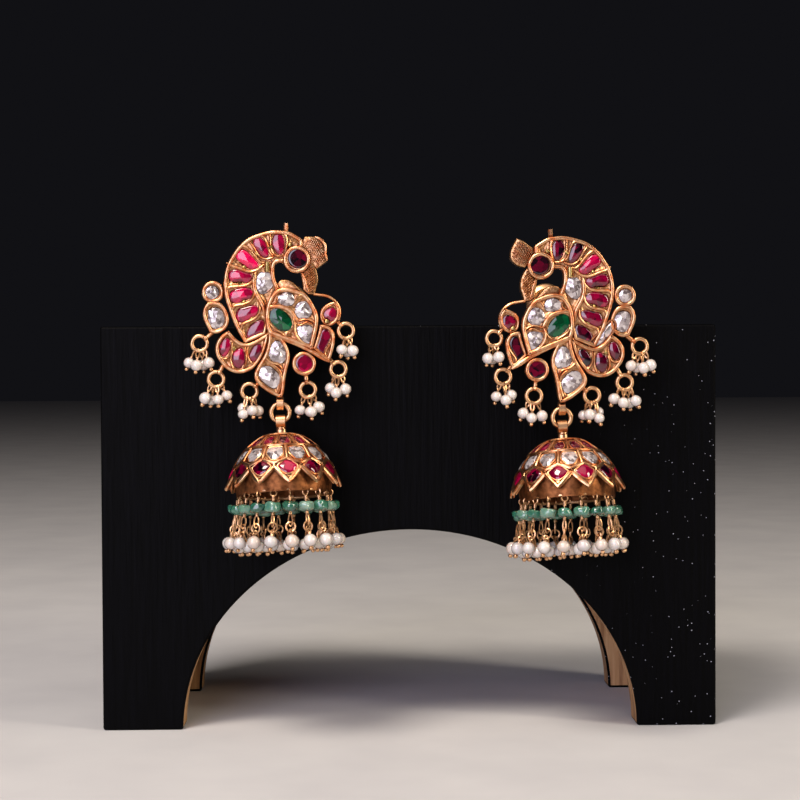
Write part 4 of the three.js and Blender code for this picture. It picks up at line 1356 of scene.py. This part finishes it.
for side, earring in EARRINGS.items():
    made = Casting()
    behind = moved_to(POST_X, 0, earring["post"]) @ turned_by(-90, "X")
    made.add(turned(POST_PROFILE, 20), place=behind)
    made.add(turned(NUT_PROFILE, 48, NUT_FRONT), place=behind)
    for angle in turns(NUT_BEADS):
        made.add(ball((*polar(NUT_BEAD_CIRCLE, angle), NUT_FRONT + 0.9), 0.16, 6, 4), place=behind)
    name, nodes = f"{side}_post_and_domed_nut", [f"{side}_post_and_nut"]
    made.piece(name, "stand_and_studs", "antique_gold", [WIRE_GOLD], earring["stud"], nodes=nodes)

# %% [markdown]
# ## Pearl clusters
# A jeweller threads each pearl on a headpin, a wire with a ball melted on its end. The pin is turned over
# the soldered loop into a long eye, and wrapped above the pearl. So a cluster is three or four eyes side
# by side, and the pearls crowd each other below them. The pearls are a little uneven, which takes away
# the look of perfect spheres.

# %% Clusters: each pearl's place right of, below and behind its loop
EYE_WIRE = 0.19
EYE_HALF_WIDE = 0.36
HOOK_REACH = 1.3
HOOK_TURN = 17
PIN_THICK = 0.3
WRAP_THICK = 0.5
CLUSTER_SQUEEZE = 0.84
CLUSTER_PEARLS = [
    [(-2.45, -3.7, 0.1), (-0.7, -4.2, -0.7), (0.7, -4.1, 0.9), (2.1, -3.7, -0.2)],
    [(-2.5, -3.6, 0.0), (-1.2, -4.0, 1.3), (0.5, -3.9, -0.8), (2.4, -3.1, 0.3)],
    [(-1.5, -3.3, 0.9), (-1.4, -4.4, -0.8), (0.75, -3.7, -0.9), (1.9, -3.8, 0.8)],
    [(-1.75, -3.9, 0.2), (0.75, -4.2, -0.6), (2.5, -3.3, 0.4)],
    [(-1.8, -3.6, 0.5), (-0.5, -4.5, -0.8), (1.6, -3.8, 0.1)],
    [(-0.9, -3.6, -0.6), (1.55, -3.8, -0.2), (0.3, -4.0, 1.5)],
]


def pinned_pearl(gold, pearls, hook, centre, radius, rng):
    """A pearl on a headpin: a long eye and wraps above it, and the melted ball below it."""
    hook, centre = Vector(hook), Vector(centre)
    down = (centre - hook).normalized()
    side = Matrix.Rotation(rng.uniform(0, math.pi), 3, down) @ down.orthogonal().normalized()
    pearl = ball(centre, radius, 18, 11, rng.uniform(0.9, 0.99), 0.06, rng.uniform(0, 50))
    pearls.add(pearl, tint=rng.random())
    low = centre - down * (radius + PIN_THICK)
    middle, reach = (hook + low) / 2, (low - hook).length / 2
    eye = [middle + down * reach * math.cos(a) + side * EYE_HALF_WIDE * math.sin(a) for a in turns(16)]
    gold.add(swept(eye, 2 * EYE_WIRE, 2 * EYE_WIRE, 6, True, down.cross(side)))
    gold.add(swept([low, (low + centre) / 2, centre], WRAP_THICK, WRAP_THICK))
    tip = centre + down * (radius * 0.93 + 0.28)
    gold.add(swept([centre, (centre + tip) / 2, tip], PIN_THICK, PIN_THICK, 6))
    gold.add(ball(tip, rng.uniform(0.4, 0.47), 10, 7, 0.95, 0.1, rng.uniform(0, 50)))


for side, earring in EARRINGS.items():
    rng = random.Random(10 + len(side))
    for number, ((loop, _), pearls) in enumerate(zip(LOOPS, CLUSTER_PEARLS), start=1):
        made, beads = Casting(), Casting()
        place = earring["stud"] @ moved_to(loop[0], 0, loop[1])
        for x, z, y in pearls:
            turn = math.radians(HOOK_TURN * x)
            hook = (math.sin(turn) * HOOK_REACH, y * 0.1, -math.cos(turn) * HOOK_REACH + 0.15)
            pinned_pearl(made, beads, hook, (CLUSTER_SQUEEZE * x, y, z), rng.uniform(1.06, 1.2), rng)
        name, nodes = f"{side}_cluster_{number}", [f"{side}_pearl_cluster_{number}"]
        made.piece(f"{name}_findings", "stand_and_studs", "antique_gold", [WIRE_GOLD], place)
        beads.piece(f"{name}_pearls", "stand_and_studs", "pearl", [PEARL], place, nodes=nodes)

# %% [markdown]
# ## Ring
# A plain round ring joins stud and bell. Its ends meet at a seam, which is soldered shut.

# %% Rings
RING_WIRE = 0.45
for side, earring in EARRINGS.items():
    made = Casting()
    made.add(wire_ring(RING_RADIUS, RING_WIRE, (0, 0, 0), "Y", 48, 14))
    made.add(ball((RING_RADIUS, 0, 0.4), 0.5, 12, 8, 0.8, 0.15, 3))
    name, nodes = f"{side}_joining_ring", [f"{side}_main_ring"]
    made.piece(name, f"{side}_ring", "antique_gold", [WIRE_GOLD], earring["ring"], nodes=nodes)

# %% [markdown]
# ## Bell
# The bell is a thin dome, cut at its rim into twelve pointed petals, with three rows of stones let into
# it: rubies at the crown, whites under them, and a ruby in each petal. It is lofted from one function
# that gives a point on the dome for a column round it and a drop below its top. The walls are swept
# along the same function, so they always lie on the dome. Inside the petals a scalloped band carries the
# strings' ring.

# %% The dome
BELL_TOP = 2.3
BELL_WALL = 0.85
BELL_PROFILE = [
    (0, 0), (2.6, 0.3), (4.6, 1.2), (6.7, 2.8), (8.3, 4.7), (9.4, 6.5), (10.0, 7.8), (11.1, 10.3),
]
PETALS = 12
COLUMNS = 2 * PETALS
NOTCH, TIP = 7.4, 10.3
SHELL_SHARES = [0.0, 0.12, 0.25, 0.38, 0.5, 0.62, 0.74, 0.86, 1.0]
SHELL_TOP = 0.3
SHELL_SKIN = 0.06
BAND_PROFILE = [(8.6, 7.5), (9.0, 7.5), (9.1, 10.0), (8.9, 12.0), (8.5, 12.0), (8.5, 10.0)]
BAND_SCALLOP = 0.025


def bell_radius(drop):
    """The dome's radius at some drop below its top."""
    for (r_above, above), (r_below, below) in zip(BELL_PROFILE, BELL_PROFILE[1:]):
        if drop <= below:
            break
    return r_above + (drop - above) / (below - above) * (r_below - r_above)


def column_angle(phase, column):
    return math.radians(phase - 90) + math.pi * (column - 1) / PETALS


def on_bell(phase, column, drop, rise=0.0):
    """A point on the dome: odd columns are the middles of petals, and even ones lie between them."""
    slope = math.atan2(bell_radius(drop + 0.5) - bell_radius(max(drop - 0.5, 0)), 1.0)
    radius = bell_radius(drop) + rise * math.cos(slope)
    return Vector((*polar(radius, column_angle(phase, column)), -BELL_TOP - drop + rise * math.sin(slope)))


def columns_in(steps):
    """Every column round the bell, with some steps from each to the next."""
    return [k / steps for k in range(COLUMNS * steps)]


def bell_shell(phase):
    """The dome's plate, outside and inside, down to a zigzag of petals."""
    rings = []
    for rise, shares in ((-SHELL_SKIN, SHELL_SHARES), (-BELL_WALL, SHELL_SHARES[::-1])):
        for share in shares:
            ring = []
            for column in columns_in(8):
                low = TIP - (TIP - NOTCH) * abs(column % 2 - 1)
                ring.append(on_bell(phase, column, SHELL_TOP + (low - SHELL_TOP) * share, rise))
            rings.append(ring)
    return skin(rings)


def inner_band(phase):
    """The scalloped band inside the petals that the strings' ring is soldered to."""
    rings = []
    for column in columns_in(6):
        scallop = 1 + BAND_SCALLOP * abs(math.cos(math.pi * column / 2))
        out = Vector((*polar(scallop, column_angle(phase, column)), 0))
        rings.append([out * r + Vector((0, 0, -BELL_TOP - drop)) for r, drop in BAND_PROFILE])
    return skin(rings, True)


print("bell radius at its rim", bell_radius(TIP))

# %% Walls and stones on the dome
STONE_ROWS = [
    # The crown rubies face the lamps above, so their tints are kept low: painted shade.
    {
        "kind": "rubies", "odd": 1, "middle": 1.95, "wide": 0.72, "high": 0.85, "tints": (0.0, 0.32),
        "corners": [(-0.8, -1), (0.8, -1), (1, 0.3), (0.62, 1), (-0.62, 1), (-1, 0.3)],
    },
    {
        "kind": "whites", "odd": 0, "middle": 4.85, "wide": 0.82, "high": 1.4, "tints": (0, 1),
        "corners": [
            (-0.85, -0.95), (0, -1.05), (0.85, -0.95), (0.95, -0.1), (0.3, 0.9), (-0.3, 0.9), (-0.95, -0.1),
        ],
    },
    {
        "kind": "rubies", "odd": 1, "middle": 7.5, "wide": 0.78, "high": 1.5, "tints": (0.05, 0.6),
        "corners": [
            (-0.25, -0.9), (0.25, -0.9), (1, -0.1), (0.6, 0.6), (0.15, 0.95), (-0.15, 0.95), (-0.6, 0.6),
            (-1, -0.1),
        ],
    },
]
DOME_LEVELS = [(1, -0.2), (1, -0.02), (0.9, 0.08), (0.68, 0.17), (0.4, 0.23), (0.12, 0.25)]
WALL_TOP = 0.6
CROWN_LOW = 3.1
PETAL_TOP = 5.9
WHITE_LOW = 6.8


def part_way(start, end, share):
    return [a + (b - a) * share for a, b in zip(start, end)]


def stone_outline(row, share):
    """A stone's outline as columns and drops from its middle, drawn in by a share."""
    corners = row["corners"]
    line = []
    for corner, after in zip(corners, corners[1:] + corners[:1]):
        for step in range(4):
            u, v = part_way(corner, after, (step + 0.5) / 4)
            line.append((u * row["wide"] * share, row["middle"] + v * row["high"] * share))
    return line


def dome_wall(made, phase, places, wide=0.66, high=0.6, rise=0.02, closed=False):
    """A thin wall along rows of column and drop, standing square on the dome."""
    path = [on_bell(phase, column, drop, rise) for column, drop in places]
    rings = []
    for (column, drop), point, along in zip(places, path, headings(path, closed)):
        out = (on_bell(phase, column, drop, 1.0) - on_bell(phase, column, drop)).normalized()
        rings.append(oval(point, along.cross(out).normalized(), out, wide, high, 8))
    made.add(skin(rings, closed))


def straight(start, end, steps):
    return [part_way(start, end, k / steps) for k in range(steps + 1)]


def bell_walls(made, phase):
    """Two rings round the crown, the walls between stones, and an edge along each petal."""
    dome_wall(made, phase, [(c, 0.62) for c in columns_in(4)], 0.7, 0.6, 0.05, True)
    dome_wall(made, phase, [(c, CROWN_LOW) for c in columns_in(4)], 0.62, 0.7, 0.0, True)
    for petal in range(PETALS):
        even, odd = 2 * petal, 2 * petal + 1
        dome_wall(made, phase, straight((even, WALL_TOP), (even, CROWN_LOW), 5), 0.6)
        dome_wall(made, phase, straight((odd, CROWN_LOW), (odd, PETAL_TOP), 4), 0.72)
        for beside in (odd - 1, odd + 1):
            dome_wall(made, phase, straight((odd, PETAL_TOP), (beside, WHITE_LOW), 6), 0.74)
            dome_wall(made, phase, straight((beside, WHITE_LOW), (beside, NOTCH), 4))
        tip = (odd, TIP - 0.1)
        edge = straight((odd - 0.98, NOTCH), tip, 8) + straight(tip, (odd + 0.98, NOTCH), 8)[1:]
        dome_wall(made, phase, edge, 1.0, 0.8, -0.22)


print("rows of stones", [row["kind"] for row in STONE_ROWS])

# %% Both bells
for side, earring in EARRINGS.items():
    rng = random.Random(20 + len(side))
    phase = earring["phase"]
    gold = Casting()
    stones = {"rubies": Casting(), "whites": Casting()}
    gold.add(bell_shell(phase))
    # The inside of the shell gets the dull gold, whose dark brown is painted shade.
    outside = len(gold.faces) // 2
    gold.finishes[outside:] = [2] * (len(gold.faces) - outside)
    bell_walls(gold, phase)
    for row in STONE_ROWS:
        for column in range(row["odd"], COLUMNS, 2):
            rings = []
            for share, rise in DOME_LEVELS:
                line = stone_outline(row, share)
                rings.append([on_bell(phase, column + u, drop, rise) for u, drop in line])
            stones[row["kind"]].add(skin(rings), tint=rng.uniform(*row["tints"]))
            line = [(column + u, drop) for u, drop in stone_outline(row, 1.04)]
            dome_wall(gold, phase, line, 0.42, 0.3, -0.02, True)
    # The band inside the petals is dull gold too, with its painted shade.
    gold.add(inner_band(phase), 2)
    bail(gold, 1.9, 1.7, 1.6, -1)
    finishes = [GOLD, WIRE_GOLD, DULL_GOLD_PAINTED_SHADE]
    name, body, place = f"{side}_bell", f"{side}_drop", earring["bell"]
    gold.piece(f"{name}_dome", body, "antique_gold", finishes, place, nodes=[name])
    stones["rubies"].piece(f"{name}_rubies", body, "ruby", [RUBY], place, 30)
    stones["whites"].piece(f"{name}_whites", body, "polki", [POLKI], place, 8)

# %% [markdown]
# ## Skirt
# Eighteen strings hang from a wire ring inside the rim. Each is an eye, a green nugget on its wire, a
# long eye and a link below it, and two pearls on headpins. The bell leans, but the strings hang plumb and
# spread outwards where they crowd each other.

# %% Strings
STRINGS = 18
STRING_CIRCLE = 8.7
STRING_RING_DROP = 12.0
STRING_LEAN = 9
STRING_LIFT = 1.0
WRAP_RADIUS = 0.26
WRAP_STEP = 0.22
NUGGET_LOW = 2.95
LONG_EYE_LOW = 5.5
LONG_EYE_REACH = 1.15
LINK_LOW = 6.75
LINK_RADIUS = 0.88
HOOK_LOW = 7.2


def wraps(made, low, count):
    """Turns of thin wire wound round a pin."""
    for k in range(count):
        made.add(wire_ring(WRAP_RADIUS, 0.12, (0, 0, -low - WRAP_STEP * k), "Z", 10, 5))


def string(made, nuggets, pearls, place, rng):
    """One string from the ring down, drawn in its own coordinates and then put in its place."""
    own, beads = Casting(), Casting()
    own.add(wire_ring(0.58, 0.15, (0, 0, -0.3), rng.choice("XY"), 14, 6))
    wraps(own, 1.05, 4)
    own.add(swept([(0, 0, -0.9), (0, 0, -2.9), (0, 0, -4.5)], PIN_THICK, PIN_THICK, 6))
    size, flat_by, seed = rng.uniform(1.35, 1.6), rng.uniform(0.55, 0.66), rng.uniform(0, 99)
    nugget = ball((0, 0, -NUGGET_LOW), size, 18, 14, flat_by, 0.22, seed, 0.6)
    leant = moved_to(rng.uniform(-0.1, 0.1), 0, -NUGGET_LOW) @ turned_by(rng.uniform(-9, 9), "Y")
    nuggets.add(nugget, tint=rng.random(), place=place @ leant @ moved_to(0, 0, NUGGET_LOW))
    wraps(own, 4.05, 2)
    long_eye = [(0.42 * math.sin(a), LONG_EYE_REACH * math.cos(a) - LONG_EYE_LOW) for a in turns(16)]
    turned_eye = turned_by(rng.uniform(0, 180), "Z")
    own.add(rib(long_eye, 0, PIN_THICK, PIN_THICK, 6, True), place=turned_eye)
    own.add(wire_ring(LINK_RADIUS, 0.18, (0, 0, -LINK_LOW), rng.choice("XXY"), 18, 6))
    radius = rng.uniform(1.2, 1.32)
    pinned_pearl(own, beads, (0.15, 0, -HOOK_LOW), (0.45, rng.uniform(-0.15, 0.15), -9.4), radius, rng)
    pinned_pearl(own, beads, (-0.15, 0, -HOOK_LOW), (-1.5, rng.uniform(-0.5, 0.5), -9.95), 1.15, rng)
    made.add((own.points, own.faces), place=place)
    pearls.add((beads.points, beads.faces), place=place)


for side, earring in EARRINGS.items():
    rng = random.Random(30 + len(side))
    findings, nuggets, pearls = Casting(), Casting(), Casting()
    ring_place = moved_to(0, 0, -BELL_TOP - STRING_RING_DROP)
    findings.add(wire_ring(STRING_CIRCLE, 0.3, (0, 0, 0.3), "Z", 72), place=ring_place)
    for k in range(STRINGS):
        angle = 360 * k / STRINGS
        behind = math.sin(math.radians(angle))
        out = STRING_LEAN * min(1, 1 - behind)
        lifted = moved_to(STRING_CIRCLE, 0, STRING_LIFT * (1 + behind) / 2)
        plumb = turned_by(BELL_LEAN, "X") @ turned_by(earring["hand"] * earring["roll"], "Y")
        place = ring_place @ turned_by(angle, "Z") @ lifted
        place = place @ turned_by(-angle, "Z") @ plumb @ turned_by(angle, "Z")
        string(findings, nuggets, pearls, place @ turned_by(-out, "Y"), rng)
    name, body, place = f"{side}_skirt", f"{side}_drop", earring["bell"]
    findings.piece(f"{name}_findings", body, "antique_gold", [WIRE_GOLD], place)
    nuggets.piece(f"{name}_nuggets", body, "emerald", [BERYL], place)
    pearls.piece(f"{name}_pearls", body, "pearl", [PEARL], place, nodes=[f"{side}_bead_skirt"])

# %% [markdown]
# ## Floor and light
# A plain pale floor, and soft light as in a small product studio. A polished stone shows its lamp as a
# shape, so the largest lamp stands at the left and low, where the left half of each dome mirrors it. A
# smaller one above gives pearls and wires their bright spots, a narrow one at the right draws the gold's
# edges, a wide one above lights the tops of the bells, and a dim one in front keeps flat gold from
# going black.

# %% Floor
FLOOR_HALF = 3.0


def pale_floor():
    paper, tree = finish("studio_paper_matt", {"Roughness": 1.0, "Specular IOR Level": 0.1})
    greys = [(0.3, "#C9C9CB"), (0.7, "#D2D2D3")]
    feed(tree, {"Base Color": add(tree, "ValToRGB", {"stops": greys}, {0: grain_of(tree, 30.0)})})
    mesh = bpy.data.meshes.new("floor")
    corners = [(x * FLOOR_HALF, y * FLOOR_HALF, 0) for x, y in ((-1, -1), (1, -1), (1, 1), (-1, 1))]
    mesh.from_pydata(corners, [], [[0, 1, 2, 3]])
    mesh.materials.append(paper)
    in_scene("floor", mesh)


pale_floor()
print("floor", 2 * FLOOR_HALF, "m across")

# %% Lamps: degrees left of the front and up, metres away, size, brightness of the face, and colour
AIM = Vector((0.0, -0.02, 0.06))
LAMPS = {
    "window_left": (25, 13, 0.85, (0.57, 0.64), 4.9, "#E4E0F8"),
    "key_above_left": (38, 58, 0.7, (0.24, 0.24), 19.5, "#FFF2E2"),
    "edge_right": (-62, 22, 0.8, (0.14, 0.6), 12.5, "#FFF2DE"),
    "soft_above": (0, 68, 1.0, (1.2, 0.8), 0.95, "#FFF2E8"),
    "fill_front": (0, 8, 1.1, (0.9, 0.8), 0.05, "#FFF0E4"),
}
for name, (left, up, away, (wide, high), brightness, colour) in LAMPS.items():
    light = bpy.data.lights.new(name, "AREA")
    light.shape = "RECTANGLE"
    light.size, light.size_y = wide, high
    light.energy = brightness * math.pi * wide * high
    light.color = linear(colour)[:3]
    across, height = polar(1, math.radians(up))
    ahead, aside = polar(across, math.radians(left))
    towards = Vector((-aside, -ahead, height))
    lamp = in_scene(name, light)
    lamp.location = AIM + towards * away
    lamp.rotation_euler = (-towards).to_track_quat("-Z", "Y").to_euler()
world = bpy.data.worlds.new("studio")
world.use_nodes = True
world.node_tree.nodes["Background"].inputs["Color"].default_value = linear("#2C2C32")
world.node_tree.nodes["Background"].inputs["Strength"].default_value = 0.22
bpy.context.scene.world = world
bpy.context.scene.view_settings.view_transform = "Standard"
print("lamps", len(LAMPS))
